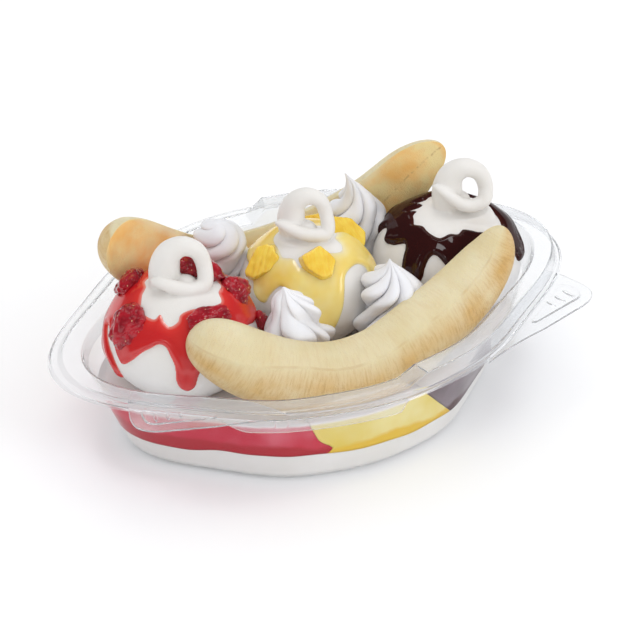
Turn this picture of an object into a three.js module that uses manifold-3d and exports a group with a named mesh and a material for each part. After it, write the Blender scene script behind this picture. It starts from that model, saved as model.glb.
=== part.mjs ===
// Banana split in its clear plastic boat: three mounds of soft serve, each with a curl and a sauce, on a
// bed of soft serve with three coloured layers, between two banana halves, with fruit and whipped cream.
// Millimetres, +Z up. The boat's long axis is X and its thumb tabs are on the -Y side. Every piece is
// shaped with z = 0 at the top of the rim's flange, and the whole is then stood on the table.
import * as THREE from "three";
import { ParametricGeometry } from "three/addons/geometries/ParametricGeometry.js";
import { mergeVertices } from "three/addons/utils/BufferGeometryUtils.js";
import Module from "manifold-3d";

const wasm = await Module();
wasm.setup();

// ---- Driving dimensions ----

const GAP = 0.3; // clearance between pieces that touch
const SHEET = 0.9; // thickness of the boat's plastic
const FLOOR = -43.4; // upper face of the boat's floor, from the flange
const CORNER_TOP = FLOOR + 3.6; // where the floor's rounded corner meets the wall

// An outline seen from above is an eye shape: its radius is a mean plus cosines of 2, 4, 6 and 8 times
// the angle.
const FLANGE_OUTLINE = [91.5, 15.8, 5.3, 2.6, 1.1];
const BASE_OUTLINE = [67.8, 9.0, 2.95, 1.8, 0.7];
const WALL_INSET = 15.5; // flange edge in to the top of the wall
const BEAD_RISE = 6; // raised half of the rim, above the flange
const LEDGE_RISE = 1.0; // low half of the rim, above the flange
const JOG = [11, 19]; // where along the boat the rim climbs from its low to its raised half
const SKIRT_DROP = 4.6; // skirt along the low front, below the flange

const BED_TOP = -30.5; // white soft serve at the bottom
const LAYER_TOP = -14; // level of the coloured layers
const LAYER_SEAMS = [-24, 38]; // where strawberry meets pineapple, and pineapple meets chocolate
const SAUCE = 1.3; // thickness of the sauces

// ---- Small helpers ----

const radians = THREE.MathUtils.degToRad;
const smooth = THREE.MathUtils.smoothstep;
const mix = THREE.MathUtils.lerp;
const bump = (distance, width) => Math.exp(-((distance / width) ** 2));

// The distance in degrees between two directions, from 0 to 180.
function turnBetween(a, b) {
  const turn = Math.abs(a - b) % 360;
  return Math.min(turn, 360 - turn);
}

// A geometry as a manifold solid: shared vertices merged and collapsed triangles dropped.
function solid(geometry) {
  const bare = geometry.index ? geometry.toNonIndexed() : geometry.clone();
  bare.deleteAttribute("normal");
  bare.deleteAttribute("uv");
  const merged = mergeVertices(bare, 1e-3);
  const corners = merged.index.array;
  const kept = [];
  for (let i = 0; i < corners.length; i += 3) {
    const [a, b, c] = corners.slice(i, i + 3);
    if (a !== b && b !== c && c !== a) kept.push(a, b, c);
  }
  return new wasm.Manifold(
    new wasm.Mesh({
      numProp: 3,
      vertProperties: merged.attributes.position.array,
      triVerts: new Uint32Array(kept),
    }),
  );
}

// A manifold solid as a geometry. Loose scraps that a cut leaves are dropped: the largest body is kept.
function geometryOf(manifold) {
  const bodies = manifold.decompose().sort((a, b) => b.volume() - a.volume());
  const { vertProperties, triVerts } = bodies[0].getMesh();
  const geometry = new THREE.BufferGeometry();
  geometry.setAttribute("position", new THREE.BufferAttribute(vertProperties, 3));
  geometry.setIndex(new THREE.BufferAttribute(triVerts, 1));
  return geometry;
}

function cut(body, tools) {
  return tools.reduce((left, tool) => left.subtract(tool), body);
}

// A closed surface of two parameters: u runs round it anticlockwise, v from its lower to its upper pole.
function closedSurface(place, around, along) {
  return new ParametricGeometry(place, around, along);
}

// ---- The boat ----

function outline(terms, angle) {
  return terms.reduce((sum, term, k) => sum + term * Math.cos(2 * k * angle), 0);
}

// The wall's inner face at a height: it leans out from the base to the rim.
function wallRadius(angle, height) {
  const foot = outline(BASE_OUTLINE, angle);
  const head = outline(FLANGE_OUTLINE, angle) - WALL_INSET;
  const rise = Math.max(0, height - CORNER_TOP) / -CORNER_TOP;
  const corner = Math.max(0, CORNER_TOP - height) / (CORNER_TOP - FLOOR);
  return mix(foot, head, rise) - 4 * corner ** 2;
}

// Half of the rim is raised, from a jog a little right of the middle, so that two such rims lock together.
function rimRaise(angle) {
  const x = outline(FLANGE_OUTLINE, angle) * Math.cos(angle);
  const [low, high] = JOG;
  return THREE.MathUtils.clamp((x - low) / (high - low), 0, 1);
}

// The low front of the rim hangs a skirt, from the left tab to the jog.
function skirtDepth(angle) {
  const radius = outline(FLANGE_OUTLINE, angle);
  const x = radius * Math.cos(angle);
  const front = Math.sin(angle) < 0 ? 1 : 0;
  return 1.2 + SKIRT_DROP * front * smooth(x, -72, -60) * (1 - smooth(x, 2, 6));
}

// The plastic's upper face at one angle, from the middle of the floor out over the rim: [radius, height].
function boatProfile(angle) {
  const edge = outline(FLANGE_OUTLINE, angle);
  const raised = rimRaise(angle);
  const top = mix(LEDGE_RISE, BEAD_RISE, raised);
  const wall = (height) => [wallRadius(angle, height), height];
  const inner = edge - mix(14.2, 12, raised);
  const outer = edge - mix(5.5, 3.6, raised);
  return [
    [0, FLOOR],
    wall(FLOOR),
    wall(FLOOR + 1.2),
    wall(CORNER_TOP),
    wall(-22),
    wall(-3),
    [inner - 1, top - 0.9],
    [inner, top],
    [outer, top],
    [outer + 1.4, 0],
    [edge - 0.4, 0],
    [edge + 0.5, -skirtDepth(angle)],
  ];
}

// The line of points moved sideways, to the right of the way it runs, by a distance.
function sideways(points, distance) {
  return points.map((point, i) => {
    const before = points[Math.max(0, i - 1)];
    const after = points[Math.min(points.length - 1, i + 1)];
    const into = new THREE.Vector2(point[0] - before[0], point[1] - before[1]).normalize();
    const out = new THREE.Vector2(after[0] - point[0], after[1] - point[1]).normalize();
    const along = into.clone().add(out).normalize();
    const reach = distance / Math.max(0.6, along.dot(i > 0 ? into : out));
    return [Math.max(0, point[0] + along.y * reach), point[1] - along.x * reach];
  });
}

function boatShell(around) {
  const rows = boatProfile(0).length * 2;
  const place = (u, v, target) => {
    const angle = 2 * Math.PI * u;
    const upper = boatProfile(angle);
    const under = sideways(upper, SHEET);
    const [radius, height] = [...under, ...upper.reverse()][Math.round(v * (rows - 1))];
    target.set(radius * Math.cos(angle), radius * Math.sin(angle), height);
  };
  return closedSurface(place, around, rows - 1);
}

const PANEL_RISE = 0.6; // the tabs' raised panels, above the flange
const GRIP_RIBS = 3;
const LEFT_TAB_INWARDS = 7.5; // how much nearer to the middle the left tab is than the right one

// A thumb tab at a front corner: a rounded plate level with the flange, with a raised bare panel that
// has grip ribs on it. side is 1 for the right end and -1 for the left.
function thumbTab(side) {
  const plate = new THREE.Shape();
  plate.moveTo(101 * side, -22);
  plate.quadraticCurveTo(106 * side, -27, 107.5 * side, -32);
  plate.quadraticCurveTo(112.5 * side, -42, 110.5 * side, -46.5);
  plate.quadraticCurveTo(108.5 * side, -51, 101 * side, -53.5);
  plate.lineTo(80 * side, -60.5);
  plate.quadraticCurveTo(62 * side, -64.5, 48 * side, -71.5);
  plate.lineTo(60 * side, -52);
  plate.closePath();
  const panel = new THREE.Shape();
  panel.moveTo(101 * side, -35);
  panel.quadraticCurveTo(104.5 * side, -36, 105.5 * side, -40);
  panel.lineTo(106 * side, -44);
  panel.quadraticCurveTo(105.5 * side, -47.5, 101 * side, -48.5);
  panel.lineTo(80 * side, -55);
  panel.quadraticCurveTo(76.5 * side, -55.5, 78.5 * side, -52.5);
  panel.closePath();
  const sheetOf = (shape, depth, bottom) => {
    const sheet = new THREE.ExtrudeGeometry(shape, { depth, bevelEnabled: false, curveSegments: 4 });
    return sheet.translate(0, 0, bottom);
  };
  const pieces = [
    solid(sheetOf(plate, SHEET - 0.1, 0.05 - SHEET)),
    solid(sheetOf(panel, PANEL_RISE + SHEET - 0.3, 0.3 - SHEET)),
  ];
  for (let i = 0; i < GRIP_RIBS; i += 1) {
    const rib = new THREE.BoxGeometry(1.4, 7 - i, 1).rotateZ(0.35 * side);
    pieces.push(solid(rib.translate((101 - 5 * i) * side, -43.5 - 1.6 * i, PANEL_RISE + 0.3)));
  }
  const tab = pieces.reduce((sum, piece) => sum.add(piece));
  return side > 0 ? tab : tab.translate([LEFT_TAB_INWARDS, 0, 0]);
}

function boat() {
  return solid(boatShell(66)).add(thumbTab(1)).add(thumbTab(-1));
}

// ---- The bed and the coloured layers ----

// What fills the boat between two heights, clear of the plastic by the gap.
function filling(bottom, top, around) {
  const heights = [bottom, bottom, Math.max(bottom, CORNER_TOP), top, top];
  const place = (u, v, target) => {
    const angle = 2 * Math.PI * u;
    const row = Math.round(v * (heights.length - 1));
    const height = heights[row];
    const inside = row === 0 || row === heights.length - 1;
    const radius = inside ? 0 : wallRadius(angle, height) - GAP - 0.1;
    target.set(radius * Math.cos(angle), radius * Math.sin(angle), height);
  };
  return solid(closedSurface(place, around, heights.length - 1));
}

// The part of the boat between two seams. A seam wavers across the boat, as soft layers meet.
function betweenSeams(left, right) {
  const sway = (x, y) => x + 3 * Math.sin(y / 13 + x);
  const shape = new THREE.Shape();
  const steps = 10;
  const reach = 80;
  for (let i = 0; i <= steps; i += 1) {
    const y = mix(-reach, reach, i / steps);
    const x = sway(left, y) + GAP / 2;
    if (i === 0) shape.moveTo(x, y);
    else shape.lineTo(x, y);
  }
  for (let i = steps; i >= 0; i -= 1) {
    const y = mix(-reach, reach, i / steps);
    shape.lineTo(sway(right, y) - GAP / 2, y);
  }
  shape.closePath();
  const slab = new THREE.ExtrudeGeometry(shape, { depth: 60, bevelEnabled: false });
  return solid(slab.translate(0, 0, FLOOR));
}

// ---- Soft-serve mounds ----

// Each mound: centre, radius and height of its dome, where its curl is from that centre and how big it
// is, the end of the curl's strand, and its sauce, which covers it from the bare cap down to a wavering
// hem with drips. A drip is [azimuth, half width, lowest elevation], all in degrees; rise is where the
// hem lifts, how widely and by how much.
const MOUNDS = {
  strawberry: {
    centre: [-57.5, 1, 2],
    radius: 32.2,
    height: 29.5,
    curl: [-0.6, 0.9, 35.7],
    curlSize: 1.03,
    tail: [
      [9.8, 4.5, -5.6, 3.3],
      [5.2, 7, -6.8, 3.2],
      [-0.4, 8, -5.4, 3],
      [-6.9, 7.5, -3.4, 2.8],
      [-11.9, 5, -3.2, 2.3],
    ],
    cap: 46,
    hem: 25,
    drips: [
      [-115, 9, -10],
      [172, 16, -16],
      [-14, 26, 3],
      [60, 14, 0],
      [118, 13, 6],
    ],
    rise: [-138, 16, 5],
  },
  pineapple: {
    centre: [5, 7, 5],
    radius: 28.8,
    height: 27,
    curl: [-1.05, 1.4, 35.7],
    curlSize: 0.9,
    tail: [
      [10.3, 5, -7.2, 3.3],
      [4.1, 7.2, -7.2, 3.2],
      [-2, 7.8, -5.5, 3],
      [-8.7, 6.7, -2.9, 2.7],
      [-13.9, 4.4, -1.6, 2.2],
    ],
    cap: 57,
    hem: 24,
    drips: [
      [-97, 24, -12],
      [-165, 16, 14],
      [-19, 14, 12],
      [45, 18, 2],
      [110, 15, 8],
    ],
    rise: [-50, 14, 6],
  },
  chocolate: {
    centre: [67, 0.8, 2],
    radius: 31.1,
    height: 26.5,
    curl: [6.6, -1.3, 35.5],
    curlSize: 1,
    tail: [
      [8.9, 4, -4, 3.1],
      [3.8, 6, -5.5, 2.9],
      [-0.9, 7, -3.7, 2.7],
      [-5.5, 7, 0.2, 2.5],
      [-9.2, 6, 2.6, 2.3],
      [-12.3, 4, 3.5, 1.9],
    ],
    cap: 56,
    hem: 34,
    drips: [
      [-140, 11, 15],
      [-103, 15, 22],
      [-24, 13, 0],
      [138, 14, 20],
      [40, 15, 8],
      [90, 14, 16],
    ],
    rise: [158, 12, 3],
  },
};

const FOOT_TUCK = 0.2; // how much narrower than a ball a dome is where it stands

// The sauce's lower edge, as an elevation on the dome.
function sauceEdge(mound, azimuth) {
  const [riseAt, riseWidth, riseBy] = mound.rise;
  let edge = mound.hem + riseBy * bump(turnBetween(azimuth, riseAt), riseWidth);
  for (const [at, width, lowest] of mound.drips) {
    edge -= (mound.hem - lowest) * bump(turnBetween(azimuth, at), width);
  }
  return edge;
}

// How thick the sauce is at a place on the dome.
function sauceDepth(mound, azimuth, elevation) {
  const cap = mound.cap + 4 * Math.sin(radians(3 * azimuth));
  const edge = sauceEdge(mound, azimuth);
  return SAUCE * smooth(elevation, edge - 3, edge + 3) * (1 - smooth(elevation, cap - 3, cap + 3));
}

// A dome that stands flat on the layers, with its sauce as relief. extra grows it all over.
function dome(mound, around, along, extra = 0) {
  const [x, y, z] = mound.centre;
  const lowest = Math.asin((LAYER_TOP + GAP - z) / mound.radius);
  const place = (u, v, target) => {
    const azimuth = 2 * Math.PI * u;
    const rise = Math.max(0, (v * along - 1) / (along - 1));
    const elevation = mix(lowest, Math.PI / 2, rise);
    const sauce = sauceDepth(mound, (azimuth * 180) / Math.PI, (elevation * 180) / Math.PI);
    const radius = mound.radius + sauce + extra;
    const tuck = elevation < 0 ? 1 - FOOT_TUCK * (elevation / lowest) ** 2 : 1;
    const across = v === 0 || v === 1 ? 0 : radius * Math.cos(elevation) * tuck;
    const crown = mound.height + sauce + extra;
    const up = (elevation < 0 ? mound.radius : crown) * Math.sin(elevation);
    target.set(x + across * Math.cos(azimuth), y + across * Math.sin(azimuth), z + up);
  };
  return closedSurface(place, around, along);
}

// A strand with rounded ends: a circle carried along a curve through [x, y, z, radius] places, closed at
// both poles.
function strand(places, around, along) {
  const curve = new THREE.CatmullRomCurve3(places.map(([x, y, z]) => new THREE.Vector3(x, y, z)));
  const frames = curve.computeFrenetFrames(along, false);
  const radiusAt = (t) => {
    const at = t * (places.length - 1);
    const before = Math.min(places.length - 2, Math.floor(at));
    return mix(places[before][3], places[before + 1][3], at - before);
  };
  const place = (u, v, target) => {
    const step = Math.round(v * along);
    const angle = 2 * Math.PI * u;
    const t = curve.getUtoTmapping(v);
    const radius = radiusAt(t) * Math.sqrt(Math.max(0, 1 - (2 * v - 1) ** 12));
    curve.getPoint(t, target);
    target.addScaledVector(frames.normals[step], radius * Math.cos(angle));
    target.addScaledVector(frames.binormals[step], radius * Math.sin(angle));
  };
  return closedSurface(place, around, along);
}

// The curl on a mound: soft serve drawn up from a broad neck into a thick strand that loops over in a
// ring, thins, and lies across the ring's foot with its end free. It faces the boat's front left. Places
// are [right, forward, up, radius] from a point over the neck, and the mound's tail goes on from them.
const CURL_FACES = radians(-118);
const CURL_RING = [
  [-3.2, -1, -15.6, 6.6],
  [-5.9, -0.6, -7.6, 6.6],
  [-6.1, -0.3, 0.6, 6.2],
  [-3.9, 0, 6.6, 5.4],
  [1.1, 0, 9.3, 4.6],
  [6.6, 0, 7.3, 4],
  [9.4, 0.6, 1.4, 3.5],
];
const NECK = [
  [0, -26],
  [18, -26],
  [14.6, -16],
  [12.8, -12],
  [11, -9.8],
  [0, -9.4],
];
const NECK_FLATNESS = 0.78; // front to back over side to side
const NECK_FORWARD = 1.2;

function curl(mound) {
  const middle = new THREE.Vector3(...mound.centre).add(new THREE.Vector3(...mound.curl));
  const turned = new THREE.Matrix4().makeRotationZ(CURL_FACES + Math.PI / 2).setPosition(middle);
  const standing = (places) =>
    places.map(([right, forward, up, radius]) => {
      const point = new THREE.Vector3(right, -forward, up).multiplyScalar(mound.curlSize).applyMatrix4(turned);
      return [point.x, point.y, point.z, radius * mound.curlSize];
    });
  const neck = new THREE.LatheGeometry(NECK.map((point) => new THREE.Vector2(...point)), 16);
  neck.rotateX(Math.PI / 2).scale(1, NECK_FLATNESS, 1).translate(0, -NECK_FORWARD, 0);
  return solid(strand(standing([...CURL_RING, ...mound.tail]), 10, 22)).add(solid(neck.applyMatrix4(turned)));
}

// ---- Bananas ----

// A banana half: half a round section carried along a curve, its cut face towards the mounds. lean tips
// the cut face, in degrees; out is the side that the skin was on.
const BANANA_RADIUS = 15.4;
const CUT_BULGE = 0.05; // how far the cut face swells, over the radius
const BANANAS = {
  front: {
    out: -1,
    lean: 14,
    bluntness: [9, 5],
    path: [
      [-68, -24, 22],
      [-59, -31.5, 17.5],
      [-47, -37.9, 9.6],
      [-32, -43.2, 2.2],
      [-14, -46.5, -2.5],
      [7, -46.5, -2],
      [30, -42, 4],
      [54, -34.4, 10.5],
      [70, -29, 19.5],
      [79.5, -26, 31],
    ],
  },
  back: {
    out: 1,
    lean: -20,
    bluntness: [12, 5],
    path: [
      [-77, 27.4, 42.5],
      [-64, 31, 30],
      [-48, 36, 15.8],
      [-32, 41.5, 3.5],
      [-12, 45.8, -5.4],
      [12, 45.8, -6.6],
      [33, 41.8, 0],
      [52, 35.4, 12.9],
      [68, 31.4, 29.3],
      [80, 28.5, 39.5],
    ],
  },
};

// extra grows the half all over, to cut room for it in softer pieces.
function bananaHalf(banana, around, along, extra = 0) {
  const curve = new THREE.CatmullRomCurve3(banana.path.map((point) => new THREE.Vector3(...point)));
  const [startPower, endPower] = banana.bluntness;
  const place = (u, v, target) => {
    const ahead = curve.getTangentAt(v);
    const lean = radians(banana.lean);
    const out = new THREE.Vector3(0, banana.out * Math.cos(lean), Math.sin(lean));
    out.addScaledVector(ahead, -out.dot(ahead)).normalize();
    const across = ahead.clone().cross(out);
    const angle = 2 * Math.PI * u;
    const power = v < 0.5 ? startPower : endPower;
    const girth = Math.sqrt(Math.max(0, 1 - Math.abs(2 * v - 1) ** power));
    const radius = (BANANA_RADIUS * (0.93 + 0.07 * Math.sin(Math.PI * v)) + extra) * girth;
    const bulge = radius * Math.cos(angle) * (Math.cos(angle) > 0 ? 1 : CUT_BULGE);
    const depth = Math.cos(angle) > 0 ? bulge : bulge - extra * girth;
    curve.getPointAt(v, target);
    target.addScaledVector(ahead, extra * (2 * v - 1));
    target.addScaledVector(out, depth).addScaledVector(across, radius * Math.sin(angle));
  };
  return closedSurface(place, around, along);
}

// ---- Whipped cream ----

// A rosette: [x, y] of its middle, its widest radius, the height of its tip, the way its tip leans, and
// its radius over that widest one at shares of its height.
const STOUT = [0, 1, 1, 1, 1, 1, 0.95, 0.85, 0.64, 0.3, 0];
const SLENDER = [0, 1, 1, 1, 1, 0.93, 0.72, 0.5, 0.28, 0.12, 0];
const SLOPING = [0, 1, 1, 1, 0.98, 0.85, 0.78, 0.72, 0.6, 0.35, 0];
const ROSETTES = {
  back_left: { at: [-22, 33], radius: 10.4, foot: 0, tip: 30.5, lean: [-2, 0], profile: STOUT },
  back_centre: { at: [42, 31], radius: 10.8, foot: 0, tip: 38, lean: [-7, 0], profile: SLENDER },
  front_left: { at: [-18, -27], radius: 14, foot: LAYER_TOP + GAP, tip: 31.5, lean: [-5, 3], profile: SLOPING },
  front_right: { at: [27.5, -26], radius: 13, foot: LAYER_TOP + GAP, tip: 31.5, lean: [-2, 0], profile: STOUT },
};

const ROSETTE_RIDGES = 6;
const RIDGE_DEPTH = 0.12;
const RIDGE_SWEEP = 2.4; // how far a ridge winds round between foot and tip, in radians

// Piped through a star nozzle and drawn off in a leaning tip, with ridges that wind round it.
function rosette(cream, around, along) {
  const [x, y] = cream.at;
  const place = (u, v, target) => {
    const angle = 2 * Math.PI * u;
    const step = Math.round(v * along);
    const ridge = 1 + RIDGE_DEPTH * Math.sin(ROSETTE_RIDGES * (angle + RIDGE_SWEEP * v));
    const radius = cream.radius * cream.profile[step] * ridge;
    const lean = v ** 3;
    const height = mix(cream.foot, cream.tip, step <= 1 ? 0 : v);
    target.set(
      x + radius * Math.cos(angle) + cream.lean[0] * lean,
      y + radius * Math.sin(angle) + cream.lean[1] * lean,
      height,
    );
  };
  return closedSurface(place, around, along);
}

// ---- Fruit ----

// A piece of fruit sits on a dome, sunk a little: where on the dome, in degrees, and its half sizes along
// the dome, up the dome and out of it. lumps is how uneven it is.
const FRUIT = {
  berry_back_left: { mound: "strawberry", azimuth: 128, elevation: 42, half: [8, 6, 5], lumps: 0.16 },
  berry_front_left: { mound: "strawberry", azimuth: -174, elevation: 31, half: [8, 9, 5.5], lumps: 0.18 },
  berry_front: { mound: "strawberry", azimuth: -88, elevation: 46, half: [9.5, 4.6, 4.5], lumps: 0.16 },
  berry_right: { mound: "strawberry", azimuth: -20, elevation: 44, half: [7, 6.5, 5], lumps: 0.18 },
  berry_low_right: { mound: "strawberry", azimuth: -27, elevation: 14, half: [4.6, 5, 4], lumps: 0.15 },
  berry_behind_curl: { mound: "strawberry", azimuth: 32, elevation: 67.5, half: [10.5, 8.5, 5], lumps: 0.15 },
  pineapple_left: { mound: "pineapple", azimuth: 178, elevation: 42, half: [7.5, 8, 5.2], lumps: 0.14 },
  pineapple_front: { mound: "pineapple", azimuth: -94, elevation: 50, half: [8, 7.5, 5], lumps: 0.14 },
  pineapple_right: { mound: "pineapple", azimuth: 0, elevation: 44, half: [8.5, 7, 5], lumps: 0.14 },
  pineapple_back: { mound: "pineapple", azimuth: 62, elevation: 50, half: [7, 7, 5.4], lumps: 0.14 },
};

function fruitPiece(fruit, seed, extra = 0) {
  const mound = MOUNDS[fruit.mound];
  const azimuth = radians(fruit.azimuth);
  const elevation = radians(fruit.elevation);
  const out = new THREE.Vector3(
    Math.cos(elevation) * Math.cos(azimuth),
    Math.cos(elevation) * Math.sin(azimuth),
    Math.sin(elevation),
  );
  const along = new THREE.Vector3(-Math.sin(azimuth), Math.cos(azimuth), 0);
  const up = out.clone().cross(along);
  const reach = mix(mound.radius, mound.height, Math.sin(elevation)) + 1.2;
  const middle = new THREE.Vector3(...mound.centre).addScaledVector(out, reach);
  const piece = new THREE.IcosahedronGeometry(1, 1);
  const points = piece.attributes.position;
  const point = new THREE.Vector3();
  for (let i = 0; i < points.count; i += 1) {
    point.fromBufferAttribute(points, i);
    const uneven =
      Math.sin(3.1 * point.x + 2 * seed) + Math.sin(3.7 * point.y - seed) + Math.sin(4.3 * point.z + 3 * seed);
    const size = 1 + (fruit.lumps * uneven) / 2;
    const [a, b, c] = fruit.half.map((half) => half * size + extra);
    const place = middle.clone().addScaledVector(along, a * point.x);
    place.addScaledVector(up, b * point.y).addScaledVector(out, c * point.z);
    points.setXYZ(i, place.x, place.y, place.z);
  }
  return solid(piece);
}

// ---- Everything put together ----

const colours = {
  boat: [0xe9eef0, 0.15],
  softServe: [0xf1efeb, 0.45],
  cream: [0xf3f3f5, 0.5],
  strawberry: [0xc8202c, 0.2],
  berry: [0x9c1428, 0.25],
  pineapple: [0xe9d36c, 0.25],
  pineappleFruit: [0xf2c52c, 0.35],
  chocolate: [0x35130f, 0.12],
  banana: [0xe9dba6, 0.55],
};

function meshOf(name, manifold, finish) {
  const [color, roughness] = colours[finish];
  const material = new THREE.MeshStandardMaterial({ color, roughness, metalness: 0 });
  if (finish === "boat") {
    material.transparent = true;
    material.opacity = 0.35;
  }
  const mesh = new THREE.Mesh(geometryOf(manifold), material);
  mesh.name = name;
  return mesh;
}

const root = new THREE.Group();
const filled = new THREE.Group();
const served = new THREE.Group();
root.add(filled, served);

const frontRoom = solid(bananaHalf(BANANAS.front, 16, 24, GAP + 0.1));
const backRoom = solid(bananaHalf(BANANAS.back, 16, 24, GAP + 0.1));
const bananaRooms = [frontRoom, backRoom];
const boatBody = boat();

filled.add(meshOf("boat", boatBody, "boat"));
filled.add(meshOf("soft_serve_bed", filling(FLOOR + GAP, BED_TOP, 40), "softServe"));

const [firstSeam, secondSeam] = LAYER_SEAMS;
const layers = filling(BED_TOP + GAP, LAYER_TOP, 40);
const spans = {
  strawberry: [-130, firstSeam],
  pineapple: [firstSeam, secondSeam],
  chocolate: [secondSeam, 130],
};
for (const [flavour, [left, right]] of Object.entries(spans)) {
  const layer = cut(layers.intersect(betweenSeams(left, right)), bananaRooms);
  filled.add(meshOf(`${flavour}_layer`, layer, flavour));
}

served.add(meshOf("banana_front", solid(bananaHalf(BANANAS.front, 16, 24)), "banana"));
served.add(meshOf("banana_back", solid(bananaHalf(BANANAS.back, 16, 24)), "banana"));

const fruitRooms = [];
Object.entries(FRUIT).forEach(([name, fruit], seed) => {
  const piece = cut(fruitPiece(fruit, seed), bananaRooms);
  fruitRooms.push(fruitPiece(fruit, seed, GAP + 0.1));
  const finish = fruit.mound === "pineapple" ? "pineappleFruit" : "berry";
  served.add(meshOf(name, piece, finish));
});

const moundRooms = [];
for (const [flavour, mound] of Object.entries(MOUNDS)) {
  const raw = solid(dome(mound, 27, 12)).add(curl(mound));
  const body = cut(raw, [...bananaRooms, ...fruitRooms, ...moundRooms]);
  moundRooms.push(solid(dome(mound, 27, 12, GAP + 0.1)));
  served.add(meshOf(`${flavour}_mound`, body, "softServe"));
}

for (const [name, cream] of Object.entries(ROSETTES)) {
  const piped = solid(rosette(cream, 24, cream.profile.length - 1));
  const body = cut(piped, [...bananaRooms, ...fruitRooms, ...moundRooms]);
  served.add(meshOf(`cream_${name}`, body, "cream"));
}

// The origin goes to the middle of the bounding box, on the table.
const box = new THREE.Box3().setFromObject(root);
const middle = box.getCenter(new THREE.Vector3());
root.position.set(-middle.x, -middle.y, -box.min.z);

export default root;
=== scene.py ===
import bpy
import numpy as np
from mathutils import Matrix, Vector


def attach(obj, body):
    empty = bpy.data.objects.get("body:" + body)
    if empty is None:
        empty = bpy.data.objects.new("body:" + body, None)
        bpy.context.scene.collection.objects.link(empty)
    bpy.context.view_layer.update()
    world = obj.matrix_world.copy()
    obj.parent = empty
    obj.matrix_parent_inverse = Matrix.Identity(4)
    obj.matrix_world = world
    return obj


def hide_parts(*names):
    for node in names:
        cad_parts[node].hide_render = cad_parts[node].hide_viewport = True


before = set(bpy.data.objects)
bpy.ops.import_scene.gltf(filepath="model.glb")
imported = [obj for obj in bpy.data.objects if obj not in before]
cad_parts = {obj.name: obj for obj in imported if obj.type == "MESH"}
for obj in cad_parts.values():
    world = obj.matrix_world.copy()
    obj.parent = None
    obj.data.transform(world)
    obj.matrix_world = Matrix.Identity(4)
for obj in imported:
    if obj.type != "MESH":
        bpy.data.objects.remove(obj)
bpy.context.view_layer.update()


# ---- The studio ----
# A pale floor that reaches far past the boat, a soft light over the table and four softer ones round
# it, and a long lens that looks down on the boat from its front left.
VIEW_LEFT = np.radians(28)  # how far the camera stands to the left of the boat's front
VIEW_DOWN = np.radians(34)
VIEW_DISTANCE = 8.0
VIEW_WIDTH = 0.26667  # what the picture's side spans at the boat
VIEW_TARGET = (0.0038, -0.0054, 0.0399)
SENSOR = 36.0
FLOOR_SIDE = 12.0
AIR_LIGHT = 0.9
AIR_MIRRORED = 0.12  # what glossy surfaces mirror of it: dark gaps between the lights
LAMPS_FACE = Vector((0, 0, 0.04))
LAMPS = [  # each square light's side, power and place
    ("over_the_table", 0.45, 3.2, (0.1, 0.1, 1.5)),
    ("left_of_the_camera", 0.2, 1.2, (-1.2, -0.9, 0.9)),
    ("right_of_the_camera", 0.7, 5.2, (0.9, -1.3, 0.8)),
    ("below_the_camera", 0.6, 0.5, (-0.5, -1.6, 0.35)),
    ("behind_the_table", 0.6, 1.4, (0.7, 1.2, 1.0)),
]

scene = bpy.context.scene
scene.view_settings.view_transform = "Standard"
scene.view_settings.look = "None"

camera = bpy.data.objects.new("camera", bpy.data.cameras.new("camera"))
level = np.cos(VIEW_DOWN)
towards = Vector((-np.sin(VIEW_LEFT) * level, -np.cos(VIEW_LEFT) * level, np.sin(VIEW_DOWN)))
camera.location = Vector(VIEW_TARGET) + towards * VIEW_DISTANCE
camera.rotation_euler = (-towards).to_track_quat("-Z", "Y").to_euler()
camera.data.lens = SENSOR * VIEW_DISTANCE / VIEW_WIDTH
camera.data.sensor_width = SENSOR
camera.data.clip_end = 50.0
scene.collection.objects.link(camera)
scene.camera = camera

for name, side, power, place in LAMPS:
    lamp = bpy.data.objects.new(name, bpy.data.lights.new(name, "AREA"))
    lamp.location = place
    lamp.rotation_euler = (LAMPS_FACE - Vector(place)).to_track_quat("-Z", "Y").to_euler()
    lamp.data.size = side
    lamp.data.energy = power
    scene.collection.objects.link(lamp)


def tint(text):
    """A colour written as six hexadecimal digits, in the linear values that a shader takes."""
    parts = np.array([int(text[i:i + 2], 16) for i in (0, 2, 4)]) / 255
    linear = np.where(parts <= 0.04045, parts / 12.92, ((parts + 0.055) / 1.055) ** 2.4)
    return (*linear, 1.0)


def node(tree, kind, inputs=(), **settings):
    """A shader node with its settings made. An input is a socket that is wired to it, a colour's six
    hexadecimal digits, or a plain value."""
    made = tree.nodes.new("ShaderNode" + kind)
    for name, value in settings.items():
        setattr(made, name, value)
    for name, value in dict(inputs).items():
        if isinstance(value, bpy.types.NodeSocket):
            tree.links.new(value, made.inputs[name])
        else:
            made.inputs[name].default_value = tint(value) if isinstance(value, str) else value
    return made


def maths(tree, operation, *values):
    """The result of an operation on values or sockets."""
    return node(tree, "Math", dict(enumerate(values)), operation=operation).outputs[0]


def ranged(tree, value, low=0.0, high=1.0, to_low=0.0, to_high=1.0):
    """A value carried evenly from one range to another, and held at its ends."""
    ends = {"From Min": low, "From Max": high, "To Min": to_low, "To Max": to_high}
    return node(tree, "MapRange", {"Value": value, **ends}).outputs["Result"]


def new_material(name):
    """An empty node material, and its tree."""
    made = bpy.data.materials.new(name)
    made.use_nodes = True
    made.node_tree.nodes.clear()
    return made, made.node_tree


def surface(tree, inputs):
    """The material's surface: a Principled shader with these inputs."""
    shader = node(tree, "BsdfPrincipled", inputs)
    node(tree, "OutputMaterial", {"Surface": shader.outputs["BSDF"]})


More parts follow.
